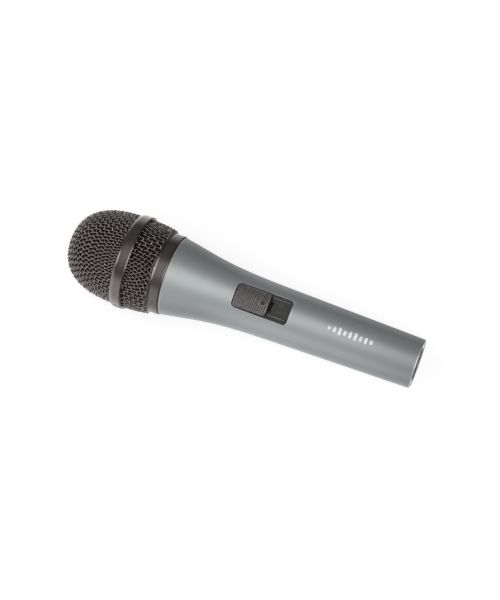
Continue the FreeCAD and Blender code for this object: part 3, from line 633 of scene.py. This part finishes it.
def neck_collar():
    """The threaded neck: a real helical thread above the gasket, plain below it."""
    steps = 160
    rows = np.arange(HANDLE_TOP + 0.1, COLLAR_TOP - 0.5, THREAD_PITCH / 10)
    turn = np.linspace(0, 2 * math.pi, steps, endpoint=False)
    wave = np.abs(((rows[:, None] / THREAD_PITCH - turn / (2 * math.pi)) % 1) * 2 - 1)
    fade = np.clip(np.minimum(rows - HANDLE_TOP - 0.3, COLLAR_TOP - 0.6 - rows) / 0.6, 0, 1)[:, None]
    flank = np.clip(1.25 * wave - 0.1, 0, 1)
    r = THREAD_R - THREAD_DEPTH * flank * fade
    thread = np.stack([r * np.cos(turn), r * np.sin(turn), rows[:, None] + 0 * turn], -1)
    skirt_r = COLLAR_SKIRT_R - 0.02
    before = [(COLLAR_LIP_R, COLLAR_LOW), (skirt_r, COLLAR_LOW), (skirt_r, HANDLE_TOP),
              (THREAD_R - 0.1, HANDLE_TOP), (THREAD_R, HANDLE_TOP + 0.05)]
    after = [(THREAD_R, COLLAR_TOP - 0.5), (THREAD_R - 0.5, COLLAR_TOP), (COLLAR_BORE_R + 0.15, COLLAR_TOP),
             (COLLAR_BORE_R, COLLAR_TOP - 0.15), (COLLAR_BORE_R, COLLAR_LOW + COLLAR_LIP_T),
             (COLLAR_LIP_R, COLLAR_LOW + COLLAR_LIP_T)]
    low, _ = turned(before, steps)
    high, _ = turned(after, steps)
    points = np.concatenate([low, thread.reshape(-1, 3), high])
    faces = quads(len(before) + len(rows) + len(after), steps, wrap_rows=True)
    return piece("neck_thread", points, faces, "handle", "brass", ["neck_collar"])


# ---- the diaphragm's surround ----
def diaphragm_roll():
    """The pleated surround, in sectors with flat-shaded ends; neighbouring sectors agree along the edge that they
    share."""
    seat_top = SEAT_Z + FILM_T
    middle_r = (DIAPHRAGM_R + SEAT_R) / 2
    under = arc_between((DIAPHRAGM_R, SEAT_Z), (middle_r, SEAT_Z + ROLL_H), (SEAT_R, SEAT_Z))
    over = arc_between((SEAT_R, seat_top), (middle_r, seat_top + ROLL_H), (DIAPHRAGM_R, seat_top))
    section = np.array(under + [(SURROUND_RIM_R, SEAT_Z), (SURROUND_RIM_R, seat_top)] + over)
    r = section[:, :1]
    z = section[:, 1:]
    share = np.clip((r - DIAPHRAGM_R) / (SEAT_R - DIAPHRAGM_R), 0, 1)
    swell = np.sin(math.pi * share) ** 2
    half = math.pi / ROLL_SECTORS
    rows = len(r)
    cols = ROLL_STEPS + 1
    faces = quads(rows, cols, wrap_rows=True, wrap_cols=False)
    ends = [[i * cols + side for i in range(rows)] for side in (0, ROLL_STEPS)]
    for k in range(ROLL_SECTORS):
        facing = 2 * half * k
        turn = np.linspace(facing - half, facing + half, cols)[None, :]
        height = z + PLEAT_H * swell * np.sin(ROLL_PLEATS * turn + 2 * math.pi * share)
        points = np.stack([r * np.cos(turn), r * np.sin(turn), height], -1).reshape(-1, 3)
        sector = piece("surround_%02d" % (k + 1), points, faces + ends, None, "film", ["diaphragm_surround"])
        for face in sector.data.polygons:
            face.use_smooth = len(face.vertices) == 4
        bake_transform(sector)


# ---- the grille's rings ----
def grille_band():
    """The centre band, its front edge rounded over and its rear edge bevelled."""
    crown = arc_between((BAND_R, BAND_BEVEL_Z), (BAND_R - 0.22, (BAND_BEVEL_Z + BAND_TOP) / 2),
                        (BAND_TOP_R, BAND_TOP), 12)
    rear = softened([(BAND_BORE_R, BAND_LOW, 0.1), (BAND_R - 0.45, BAND_LOW, 0.12),
                     (BAND_R, BAND_LOW + 0.45, 0.2), (BAND_R, BAND_BEVEL_Z - 0.3, 0)])
    front = [(BAND_BORE_R, BAND_TOP - 0.02), (BAND_BORE_R, BAND_LOW + 0.5)]
    outline = [tuple(p) for p in rear] + crown + front
    points, faces = turned(outline)
    return piece("grille_centre_band", points, faces, "grille", "dark_nickel", ["grille_band"])


def grille_base_ring():
    """The ring behind the mesh, with a bevelled edge each side and a fine turned line near the rear one."""
    bore_r = THREAD_R + 0.08
    spigot_r = REAR_LINE[0][1] - MESH_T - 0.1
    face_r = RING_LOW_R + 0.16
    line_low = RING_LOW + 0.95
    line_top = line_low + 0.14
    outline = softened([
        (bore_r, RING_LOW, 0.1), (face_r - 0.32, RING_LOW, 0.1), (face_r, RING_LOW + 0.36, 0.1),
        (face_r, line_low, 0.03), (face_r - 0.08, line_low, 0.02), (face_r - 0.08, line_top, 0.02),
        (face_r, line_top, 0.03), (face_r + 0.04, RING_TOP - 0.95, 0.1), (RING_TOP_R, RING_TOP - 0.25, 0.12),
        (RING_TOP_R - 0.1, RING_TOP, 0.08), (spigot_r, RING_TOP, 0.05), (spigot_r, RING_TOP + 1.4, 0.1),
        (bore_r, RING_TOP + 1.4, 0.1)])
    points, faces = turned(outline)
    return piece("grille_ring", points, faces, "grille", "dark_nickel", ["grille_base_ring"])


# ---- the woven mesh ----
def inset_line(r, z, depth):
    """A line inside an (r, z) line by a depth, with its outward normals and its length so far."""
    way = unit(np.column_stack([np.gradient(r), np.gradient(z)]))
    normal = np.column_stack([-way[:, 1], way[:, 0]])
    if normal[:, 0].sum() < 0:
        normal = -normal
    line = np.column_stack([r, z]) - depth * normal
    steps = np.linalg.norm(np.diff(line, axis=0), axis=1)
    return line, normal, np.concatenate([[0.0], np.cumsum(steps)])


def dome_line(depth):
    """The dome's section from the tip down to its rim, at a depth under its outside."""
    angle = np.linspace(math.pi / 2, 0, 400)
    r = DOME_R * np.cos(angle).clip(0) ** (2 / DOME_POWER)
    z = DOME_LOW + (DOME_TIP - DOME_LOW) * np.sin(angle) ** (2 / DOME_POWER)
    r = np.append(r, DOME_R)
    z = np.append(z, MESH_SEAM)
    r[0] = 0.0
    line, normal, run = inset_line(r, z, depth)
    normal[0] = (0.0, 1.0)
    line[0] = (0.0, DOME_TIP - depth)
    return line, normal, run


def rear_line(depth):
    """The rear skin's section from the base ring up to the band."""
    z = np.linspace(RING_TOP, MESH_SEAM, 60)
    return inset_line(cubic(REAR_LINE, z), z, depth)


def squeeze_of(rho, r, fourfold, hold):
    """How much narrower round the axis the cloth is than when flat; fourfold is 1 along a wire, -1 midway."""
    if rho < 1e-6 or r < 1e-6:
        return 1.0
    return r / rho * (1 + (1 - hold) * (rho / r - 1) * fourfold)


def pressed(run, radius, cloth):
    """How far down the section each radius of the flat cloth ends, for a range of biases.

    Bias is 0 where a wire runs straight down the section and 1 midway between, where the cloth shears:
    there it draws in round the axis and grows longer down the section by as much as the wires allow.
    """
    step = 0.25
    flat = np.arange(cloth["start"], cloth["start"] + 1.4 * run[-1] + step, step)
    biases = np.linspace(0, 1, 9)
    table = np.zeros((len(biases), len(flat)))
    for b, bias in enumerate(biases):
        along = 0.0
        for k, rho in enumerate(flat):
            table[b, k] = along
            squeeze = squeeze_of(rho, np.interp(along, run, radius), 1 - 2 * bias, cloth["hold"])
            grow = math.sqrt(max(0.2, 2 - squeeze ** 2))
            along += step * (cloth["stretch"] * (1 - bias) + grow * bias)
    return flat, biases, table


def weave(section, cloth):
    """The two sets of crossing wires of a cloth pressed onto a turned section, as lists of paths."""
    line, normal, run = section
    pitch = cloth["pitch"]
    reach = cloth["reach"]
    flat_r, biases, table = pressed(run, line[:, 0], cloth)
    sets = ([], [])
    half = int(reach / pitch) + 1
    along = np.arange(-reach, reach, pitch / 8)
    place = np.arange(len(along))
    for family in (0, 1):
        for k in range(-half, half):
            drift = 0.05 * np.sin(along * 0.37 + 1.7 * k + family)
            across = (k + 0.5) * pitch + drift
            rho = np.hypot(across, along)
            flat = np.arctan2(along, across) if family == 0 else np.arctan2(across, along)
            level = np.sin(2 * flat) ** 2 * (len(biases) - 1)
            low = np.minimum(level.astype(int), len(biases) - 2)
            down = np.array([np.interp(rho, flat_r, row) for row in table])
            s = down[low, place] * (1 - level + low) + down[low + 1, place] * (level - low)
            r = np.interp(s, run, line[:, 0])
            inside = (rho >= cloth["start"]) & (s <= run[-1] - 0.3) & (rho < flat_r[-1])
            shear = (1 - cloth["hold"]) * (rho / np.maximum(r, 0.3) - 1) / 4
            azimuth = flat + shear * np.sin(4 * flat) + cloth["turn"]
            side = (-1) ** (k + family)
            swing = side * CRIMP * np.sin(math.pi * along / pitch)
            out_r = np.interp(s, run, normal[:, 0])
            way = np.stack([out_r * np.cos(azimuth), out_r * np.sin(azimuth),
                            np.interp(s, run, normal[:, 1])], -1)
            path = np.stack([r * np.cos(azimuth), r * np.sin(azimuth), np.interp(s, run, line[:, 1])], -1)
            path = path + swing[:, None] * way
            sets[family].extend((path[part], way[part]) for part in runs(inside))
    return sets


def runs(inside):
    """The unbroken stretches of a mask, as index arrays of at least four points."""
    where = np.flatnonzero(inside)
    if len(where) == 0:
        return []
    parts = np.split(where, np.flatnonzero(np.diff(where) > 1) + 1)
    return [p for p in parts if len(p) >= 4]


def wires(paths, radius, sides=8):
    """One mesh of round wires, with closed ends."""
    points = []
    faces = []
    start = 0
    angles = np.linspace(0, 2 * math.pi, sides, endpoint=False)
    for path, out in paths:
        ahead = unit(np.gradient(path, axis=0))
        beside = unit(np.cross(ahead, out))
        over = np.cross(beside, ahead)
        rings = (path[:, None] + radius * (np.cos(angles)[:, None] * over[:, None]
                                           + np.sin(angles)[:, None] * beside[:, None]))
        points.append(rings.reshape(-1, 3))
        faces += quads(len(path), sides, start=start)
        faces.append(tuple(range(start, start + sides)))
        end = start + (len(path) - 1) * sides
        faces.append(tuple(range(end + sides - 1, end - 1, -1)))
        start += len(path) * sides
    return np.concatenate(points), faces


def woven_skins():
    """The two skins of the grille, each of two sets of wires, a piece for each set."""
    skins = [("front", dome_line(SKIN_DEPTH), FRONT_CLOTH, "grille_mesh_front"),
             ("rear", rear_line(SKIN_DEPTH), REAR_CLOTH, "grille_mesh_rear")]
    for label, section, cloth, node in skins:
        for family, paths in zip(("warp", "weft"), weave(section, cloth)):
            points, faces = wires(paths, cloth["wire_r"])
            piece("mesh_%s_%s" % (label, family), points, faces, "grille", "mesh_wire", [node], tidy=False)


def foam_liner():
    """The foam cup inside the mesh, its surface pitted and uneven."""
    gap = MESH_T + 0.3
    outer, _, _ = dome_line(gap)
    inner, _, _ = dome_line(gap + FOAM_T)
    foot_r = REAR_LINE[0][1]
    outer = outer[:-2:9]
    inner = inner[:-2:9]
    rise = np.linspace(DOME_LOW, FOAM_LOW, 20)[1:]
    outer_side = [(np.interp(z, [FOAM_LOW, DOME_LOW], [foot_r - gap, DOME_R - gap]), z) for z in rise]
    inner_side = [(np.interp(z, [FOAM_LOW, DOME_LOW], [foot_r - gap - FOAM_T, DOME_R - gap - FOAM_T]), z)
                  for z in rise]
    outline = [tuple(p) for p in outer] + outer_side
    outline += inner_side[::-1] + [tuple(p) for p in inner[::-1]]
    points, faces = turned(outline[::-1], 240)
    for p in points:
        where = Vector(p) * 0.9
        dent = noise.noise(where) * 0.16 + noise.noise(where * 2.7) * 0.1
        radial = Vector((p[0], p[1], 0.35 * max(0.0, p[2] - DOME_LOW))).normalized()
        p -= np.array(radial) * (abs(dent) + 0.02)
    return piece("foam_liner", points, faces, "grille", "foam", ["foam_windscreen"])


# ---- the switch ----
def rounded_rect(y, z, half_w, low, top, corner_r):
    """How far each point lies inside a rounded rectangle's edge; negative outside."""
    dy = np.abs(y) - (half_w - corner_r)
    dz = np.abs(z - (low + top) / 2) - ((top - low) / 2 - corner_r)
    outside = np.hypot(np.maximum(dy, 0), np.maximum(dz, 0))
    return corner_r - outside - np.minimum(np.maximum(dy, dz), 0)


def from_dimple(y, z):
    """How far each point is from the dimple's middle, as a share of the dimple's half width there."""
    return np.hypot((y - DIMPLE_Y) / DIMPLE_HALF_W, (z - DIMPLE_Z) / DIMPLE_HALF_L)


def knurl(y, z):
    """How deep the slider's top is cut at each point, from 0 on a crest to 1 in a groove: slanting scales."""
    row = y / KNURL_ROW
    lean = (z - math.tan(KNURL_LEAN) * y) / RIB_PITCH + 0.5 * np.floor(row)
    across = np.abs(np.sin(math.pi * lean)) ** 0.8
    ends = np.abs(np.sin(math.pi * row)) ** 0.5
    inside = slider_inside(y, z)
    plain = np.clip((from_dimple(y, z) - 1.2) / 0.25, 0, 1) * np.clip((inside - 0.25) / 0.2, 0, 1)
    return (1 - across * (0.75 + 0.25 * ends)) * plain


def dimple(y, z):
    """How deep the slider's dimple is at each point, from 0 outside it to 1 in its middle."""
    return np.clip(1 - from_dimple(y, z) ** 3, 0, 1)


def slider_inside(y, z):
    """How far each point lies inside the slider's outline."""
    return rounded_rect(y, z, SLIDER_W / 2, SLIDER_LOW, SLIDER_TOP, SLIDER_CORNER_R)


def slider_height(y, z):
    """The slider's top: the handle's own curve, knurled, with a dimple in a raised lip and rounded edges."""
    top = np.sqrt((handle_r(z) + SLIDER_PROUD) ** 2 - y ** 2)
    edge = 0.3
    inside = slider_inside(y, z)
    drop = edge - np.sqrt(np.maximum(edge ** 2 - np.clip(edge - inside, 0, edge) ** 2, 0))
    lip = 0.12 * np.clip(1 - np.abs(from_dimple(y, z) - 1.12) / 0.14, 0, 1)
    return top + lip - KNURL_DEPTH * knurl(y, z) - DIMPLE_DEPTH * dimple(y, z) - drop


def switch_slider():
    """A fine height grid for the ribbed top, closed by walls and a flat underside."""
    half_w = SLIDER_W / 2
    centre_z = (SLIDER_LOW + SLIDER_TOP) / 2
    cols = 132
    rows = 188
    y = np.linspace(-half_w + 1e-4, half_w - 1e-4, cols)
    z = np.linspace(SLIDER_LOW + 1e-4, SLIDER_TOP - 1e-4, rows)
    yy, zz = np.meshgrid(y, z)
    yy, zz = pull_in(yy, zz, half_w, SLIDER_LOW, SLIDER_TOP, SLIDER_CORNER_R)
    x = slider_height(yy, zz)
    top = np.stack([x, yy, zz], -1).reshape(-1, 3)
    faces = quads(rows, cols, wrap_cols=False)
    previous = [i * cols + j for i, j in grid_border(range(rows), range(cols))]
    border = top[previous]
    points = [tuple(p) for p in top]
    wall_top = 13.3
    chamfer = 0.1
    for level, narrow, short in ((wall_top, 1.0, 1.0), (SLIDER_FLOOR_X + chamfer, 1.0, 1.0),
                                 (SLIDER_FLOOR_X, 1 - chamfer / half_w, 1 - chamfer / 8.4)):
        current = range(len(points), len(points) + len(border))
        points += [(level, py * narrow, centre_z + (pz - centre_z) * short) for _, py, pz in border]
        faces += bridged(previous, current)
        previous = current
    faces.append(tuple(previous))
    stem_points, stem_faces = box_points(9.0, SLIDER_FLOOR_X + 0.3, 4.4, 83.5, 88.5, len(points))
    points += stem_points
    faces += stem_faces
    obj = piece("thumb_slider", points, faces, "slider", "slider_metal", ["switch_slider"])
    x, y, z = points_of(obj)
    # painted shade: a value that darkens the knurl's grooves and the dimple towards near black
    paint_on(obj, "groove_shade", np.maximum(knurl(y, z), 0.75 * dimple(y, z)) * (x > 13.0))
    return obj


def slider_shadow_strip():
    """A near-black strip standing out under the slider's tail end: a painted shadow of the slider's end on the
    recess floor.
    """
    points, faces = box_points(SLIDER_FLOOR_X + 0.1, SLIDER_FLOOR_X + 0.7, SHADOW_STRIP_W,
                               SLIDER_LOW - SHADOW_STRIP_L, SLIDER_LOW + 0.3)
    # painted shadow: a near-black sheet where the slider's end shades the recess floor
    return piece("slider_shadow_strip", points, faces, "slider", None, finish="black_felt")


def pull_in(y, z, half_w, low, top, corner_r):
    """Moves a rectangular grid's points so that its border follows the rounded corners."""
    mid = (low + top) / 2
    half_l = (top - low) / 2
    ny = y / half_w
    nz = (z - mid) / half_l
    reach = np.maximum(np.abs(ny), np.abs(nz))
    corner_y = half_w - corner_r
    corner_z = half_l - corner_r
    dy = np.maximum(np.abs(y) - corner_y, 0)
    dz = np.maximum(np.abs(z - mid) - corner_z, 0)
    square = np.maximum(dy, dz)
    round_out = np.hypot(dy, dz)
    factor = np.where(round_out > 1e-9, square / np.maximum(round_out, 1e-9), 1.0)
    both = (dy > 0) & (dz > 0)
    new_y = np.where(both, np.sign(y) * (corner_y + dy * factor), y)
    new_z = np.where(both, mid + np.sign(z - mid) * (corner_z + dz * factor), z)
    return new_y, new_z


def box_points(x0, x1, width, z0, z1, start=0):
    """A plain box's corners and faces."""
    corners = [(x, side * width / 2, z) for x in (x0, x1) for side in (-1, 1) for z in (z0, z1)]
    faces = [(0, 1, 3, 2), (4, 6, 7, 5), (0, 4, 5, 1), (2, 3, 7, 6), (0, 2, 6, 4), (1, 5, 7, 3)]
    return corners, [tuple(start + k for k in f) for f in faces]


def rail_highlight_strips():
    """Pale strips over the two rails beside the slider's way, their tops rounded over: a painted highlight on the
    rails, lighter than the plate they belong to.
    """
    half_w = RAIL_W / 2 - 0.06
    top = PLATE_TOP_X + RAIL_H + 0.02
    low_z = SLOT_LOW + 1.3
    top_z = SLOT_TOP - 1.3
    section = [(PLATE_TOP_X - 0.1, -half_w), (top - 0.25, -half_w)]
    section += [(top - 0.25 + 0.25 * math.sin(a), -half_w + 0.25 * (1 - math.cos(a)))
                for a in np.linspace(0.3, math.pi / 2, 4)]
    section += [(x, -y) for x, y in section[::-1]]
    points = []
    faces = []
    count = len(section)
    for middle in RAIL_YS:
        start = len(points)
        for z, shrink in ((low_z, 0.25), (low_z + 0.2, 0.0), (top_z - 0.2, 0.0), (top_z, 0.25)):
            points += [(x - shrink * (x > PLATE_TOP_X), y * (1 - 0.4 * shrink) + middle, z)
                       for x, y in section]
        faces += quads(4, count, start=start)
        faces.append(tuple(range(start, start + count)))
        faces.append(tuple(range(start + 3 * count, start + 4 * count))[::-1])
    return piece("rail_highlight_strips", points, faces, "handle", "switch_plastic", finish="rail_plastic")


def recess_marks():
    """Two plain raised marks on the recess floor, a ring and a bar, where switches have them."""
    points, faces = turned(softened([(0.62, 0.0, 0.05), (1.05, 0.0, 0.05), (1.05, 0.16, 0.06),
                                     (0.62, 0.16, 0.06)], 3), 48)
    marks = [(PLATE_TOP_X - 0.02 + p[2], p[0] + 2.4, p[1] * 1.2 + 69.6) for p in points]
    start = len(marks)
    bar, _ = turned(softened([(0.02, 0.0, 0), (1.0, 0.0, 0), (1.0, 0.10, 0), (0.94, 0.16, 0.03),
                              (0.02, 0.16, 0)], 3), 48)
    bar_faces = [tuple(start + k for k in f) for f in quads(len(bar) // 48, 48, wrap_rows=True)]
    marks += [(PLATE_TOP_X - 0.02 + p[2], 0.4 * p[0] - 1.4, 1.3 * p[1] + 69.6) for p in bar]
    return piece("recess_marks", marks, faces + bar_faces, "handle", "switch_plastic", finish="mark_plastic")


def printed_mark():
    """A plain printed mark on the handle: a row of white bars of different lengths."""
    lengths = (2.0, 2.9, 3.9, 2.6, 3.4, 3.9, 2.6, 3.3, 2.2)
    points = []
    faces = []
    for k, length in enumerate(lengths):
        z = MARK_LOW + MARK_STEP * (len(lengths) - 1 - k)
        start = len(points)
        rows = 17
        half_w = MARK_BAR_W / 2
        for depth in (-0.012, 0.05):
            for y in np.linspace(-length / 2, length / 2, rows):
                from_end = min(length / 2 - abs(y), half_w)
                w = math.sqrt(max(half_w ** 2 - (half_w - from_end) ** 2, 1e-4))
                for end in (-w, w):
                    r = float(handle_r(z + end)) - depth
                    points.append((math.sqrt(r ** 2 - y ** 2), y, z + end))
        for i in range(rows - 1):
            a = start + 2 * i
            faces.append((a, a + 1, a + 3, a + 2))
            b = a + 2 * rows
            faces.append((b, b + 2, b + 3, b + 1))
            faces.append((a, a + 2, b + 2, b))
            faces.append((a + 1, b + 1, b + 3, a + 3))
        last = start + 2 * (rows - 1)
        faces.append((start, start + 2 * rows, start + 2 * rows + 1, start + 1))
        faces.append((last, last + 1, last + 2 * rows + 1, last + 2 * rows))
    return piece("printed_mark", points, faces, "handle", None, finish="print_white")


# ---- camera, light and floor ----
FLOOR_HALF = 3.0        # metres
NET_R = 95.0
NET_LOW = -90.0
NET_TOP = 18.0
NET_SPAN = (-40, 115)   # degrees round the microphone
NET_PASS = 0.6          # the share of light that it lets through
ROOM = 0.3              # the brightness between the panels
# Each panel: the middle of its stretch round the microphone, half that stretch (degrees), and its brightness
# over the dim room. 0 is overhead, 90 the camera's side, 180 the table, -90 behind.
HANDLE_PANELS = {"overhead softbox": (5, 25, 1.2), "side fill": (65, 30, 0.3),
                 "low reflector": (150, 15, 0.4), "table": (180, 15, 1.1), "black flag": (-90, 20, -0.2)}
GRILLE_PANELS = {"overhead strip": (0, 20, 0.4), "front softbox": (110, 50, 1.5),
                 "rear softbox": (-140, 40, 1.2)}
PANEL_EDGE = 12.0       # degrees over which a panel fades out
RAMP_STOPS = 32
WALL_GAIN = 2.0
GRILLE_END = 0.228      # how far a direction leans towards the grille where only its panels count,
HANDLE_END = 0.192      # and where only the handle's do


def camera():
    """The photograph's viewing angle: nearly straight down on the switch side, from beyond the tail."""
    lens = 98.15
    distance = 780 * MM
    beyond_tail = 47.9 * MM
    swing = math.radians(9.4)
    pitch = math.radians(9.78)
    roll = math.radians(19.8)
    lift = 1.7 * MM
    towards = SIDE * math.cos(swing) - ACROSS * math.sin(swing)
    forward = -math.sin(pitch) * OUT - math.cos(pitch) * towards
    right = math.cos(pitch) * OUT - math.sin(pitch) * towards
    up = right.cross(forward)
    rolled_right = math.cos(roll) * right + math.sin(roll) * up
    rolled_up = -math.sin(roll) * right + math.cos(roll) * up
    data = bpy.data.cameras.new("camera")
    data.lens = lens
    obj = bpy.data.objects.new("camera", data)
    bpy.context.scene.collection.objects.link(obj)
    turn = Matrix((rolled_right, rolled_up, -forward)).transposed().to_4x4()
    obj.matrix_world = Matrix.Translation(TAIL + beyond_tail * OUT + distance * towards + lift * up) @ turn
    bpy.context.scene.camera = obj


def set_up(name, points, faces, made, unseen_by):
    """A thing of the studio, no part of the microphone, and the kinds of ray that pass it by."""
    mesh = bpy.data.meshes.new(name)
    mesh.from_pydata(points, [], faces)
    mesh.materials.append(made)
    obj = bpy.data.objects.new(name, mesh)
    bpy.context.scene.collection.objects.link(obj)
    for ray in unseen_by:
        setattr(obj, "visible_" + ray, False)


def floor():
    """A white table, lit from below as product tables are."""
    size = FLOOR_HALF
    made = material("floor_white", (0.36, 0.36, 0.36), roughness=0.6, Specular_IOR_Level=0.1,
                    Emission_Color=(1.0, 1.0, 1.0), Emission_Strength=0.74)
    corners = [(-size, -size, 0), (size, -size, 0), (size, size, 0), (-size, size, 0)]
    set_up("floor", corners, [(0, 1, 2, 3)], made, ["glossy"])


def backdrop():
    """A pale dome round the table. It only stands behind the picture, and lights nothing."""
    rise = np.linspace(0, math.pi / 2, 25)[:-1]
    turn = np.linspace(0, 2 * math.pi, 96, endpoint=False)
    dome = np.stack([np.cos(rise)[:, None] * np.cos(turn), np.cos(rise)[:, None] * np.sin(turn),
                     np.sin(rise)[:, None] + 0 * turn], -1).reshape(-1, 3)
    faces = quads(len(rise), len(turn))
    faces.append(tuple(range(len(dome) - len(turn), len(dome))))
    made = material("backdrop_white", (0.0, 0.0, 0.0), roughness=1.0, Specular_IOR_Level=0.0,
                    Emission_Color=(1.0, 1.0, 1.0), Emission_Strength=0.98)
    set_up("backdrop", (dome * FLOOR_HALF * 0.98).tolist(), faces, made,
           ["glossy", "diffuse", "transmission", "shadow"])


def net():
    """A grey net hung over the tail, which dims what the metal reflects there and nothing else."""
    around = np.radians(np.linspace(*NET_SPAN, 33))
    along = np.array([NET_LOW, NET_TOP])[:, None]
    middle = np.array(TAIL) + along[:, :, None] * MM * np.array(UP)
    arm = np.stack([0 * around, -np.sin(around), np.cos(around)], -1)
    points = (middle + NET_R * MM * arm[None]).reshape(-1, 3).tolist()
    cloth = bpy.data.materials.new("net")
    cloth.use_nodes = True
    cloth.node_tree.nodes.clear()
    thin = add(cloth, "ShaderNodeBsdfTransparent", {"Color": (NET_PASS, NET_PASS, NET_PASS)})
    add(cloth, "ShaderNodeOutputMaterial", {"Surface": thin.outputs["BSDF"]})
    set_up("net", points, quads(2, len(around), wrap_cols=False), cloth, ["camera", "diffuse", "shadow"])


def softbox(name, place, target, width, height, radiance):
    """An area light of a given brightness at a place, facing a target."""
    data = bpy.data.lights.new(name, "AREA")
    data.shape = "RECTANGLE"
    data.size = width
    data.size_y = height
    data.energy = radiance * width * height * math.pi
    obj = bpy.data.objects.new(name, data)
    bpy.context.scene.collection.objects.link(obj)
    way = Vector(place) - Vector(target)
    obj.location = place
    obj.rotation_mode = "QUATERNION"
    obj.rotation_quaternion = way.to_track_quat("Z", "Y")


def studio_light():
    """A soft light beyond the grille and a low one beyond the tail."""
    middle = (0.0, 0.0, 0.02)
    softbox("beyond_grille", (-1.04, -0.18, 0.75), middle, 0.55, 0.55, 3.0)
    softbox("beyond_tail", (1.2, 0.0, 0.24), middle, 0.8, 0.4, 3.2)


def wall_level(degrees, panels):
    """The brightness of the studio in one direction round the microphone."""
    level = ROOM
    for middle, half, brightness in panels.values():
        off = abs((degrees - middle + 180) % 360 - 180)
        share = min(max((half + PANEL_EDGE - off) / (2 * PANEL_EDGE), 0.0), 1.0)
        level += brightness * share * share * (3 - 2 * share)
    return max(level, 0.0)


def wall_ramp(world, share, panels):
    """The brightness of a set of panels, by the share of the way round."""
    ramp = add(world, "ShaderNodeValToRGB", {"Fac": share})
    elements = ramp.color_ramp.elements
    while len(elements) < RAMP_STOPS:
        elements.new(0.5)
    for k, element in enumerate(elements):
        element.position = k / (RAMP_STOPS - 1)
        level = wall_level(360 * element.position - 180, panels) / WALL_GAIN
        element.color = (level, level, level, 1.0)
    return ramp.outputs["Color"]


def surroundings():
    """The studio's soft walls: panels by the angle round the microphone, a set for each of its ends."""
    world = bpy.data.worlds.new("studio")
    bpy.context.scene.world = world
    world.use_nodes = True
    way = add(world, "ShaderNodeTexCoord").outputs["Generated"]
    split = add(world, "ShaderNodeSeparateXYZ", {0: way})
    flip = add(world, "ShaderNodeMath", {0: split.outputs["Y"], 1: -1.0}, operation="MULTIPLY")
    angle = add(world, "ShaderNodeMath", {0: flip.outputs[0], 1: split.outputs["Z"]}, operation="ARCTAN2")
    share = spread(world, angle.outputs[0], start=-math.pi, end=math.pi)
    along = add(world, "ShaderNodeVectorMath", {0: way, 1: UP}, operation="DOT_PRODUCT")
    end = spread(world, along.outputs["Value"], start=GRILLE_END, end=HANDLE_END)
    walls = tinted(world, end, wall_ramp(world, share, GRILLE_PANELS), wall_ramp(world, share, HANDLE_PANELS))
    feed(world.node_tree.nodes["Background"], {"Color": walls, "Strength": WALL_GAIN})


def main():
    bpy.context.scene.view_settings.view_transform = "Standard"
    finish_cad_nodes()
    handle()
    neck_collar()
    diaphragm_roll()
    grille_band()
    grille_base_ring()
    woven_skins()
    foam_liner()
    switch_slider()
    slider_shadow_strip()
    rail_highlight_strips()
    recess_marks()
    printed_mark()
    camera()
    floor()
    backdrop()
    net()
    studio_light()
    surroundings()


main()
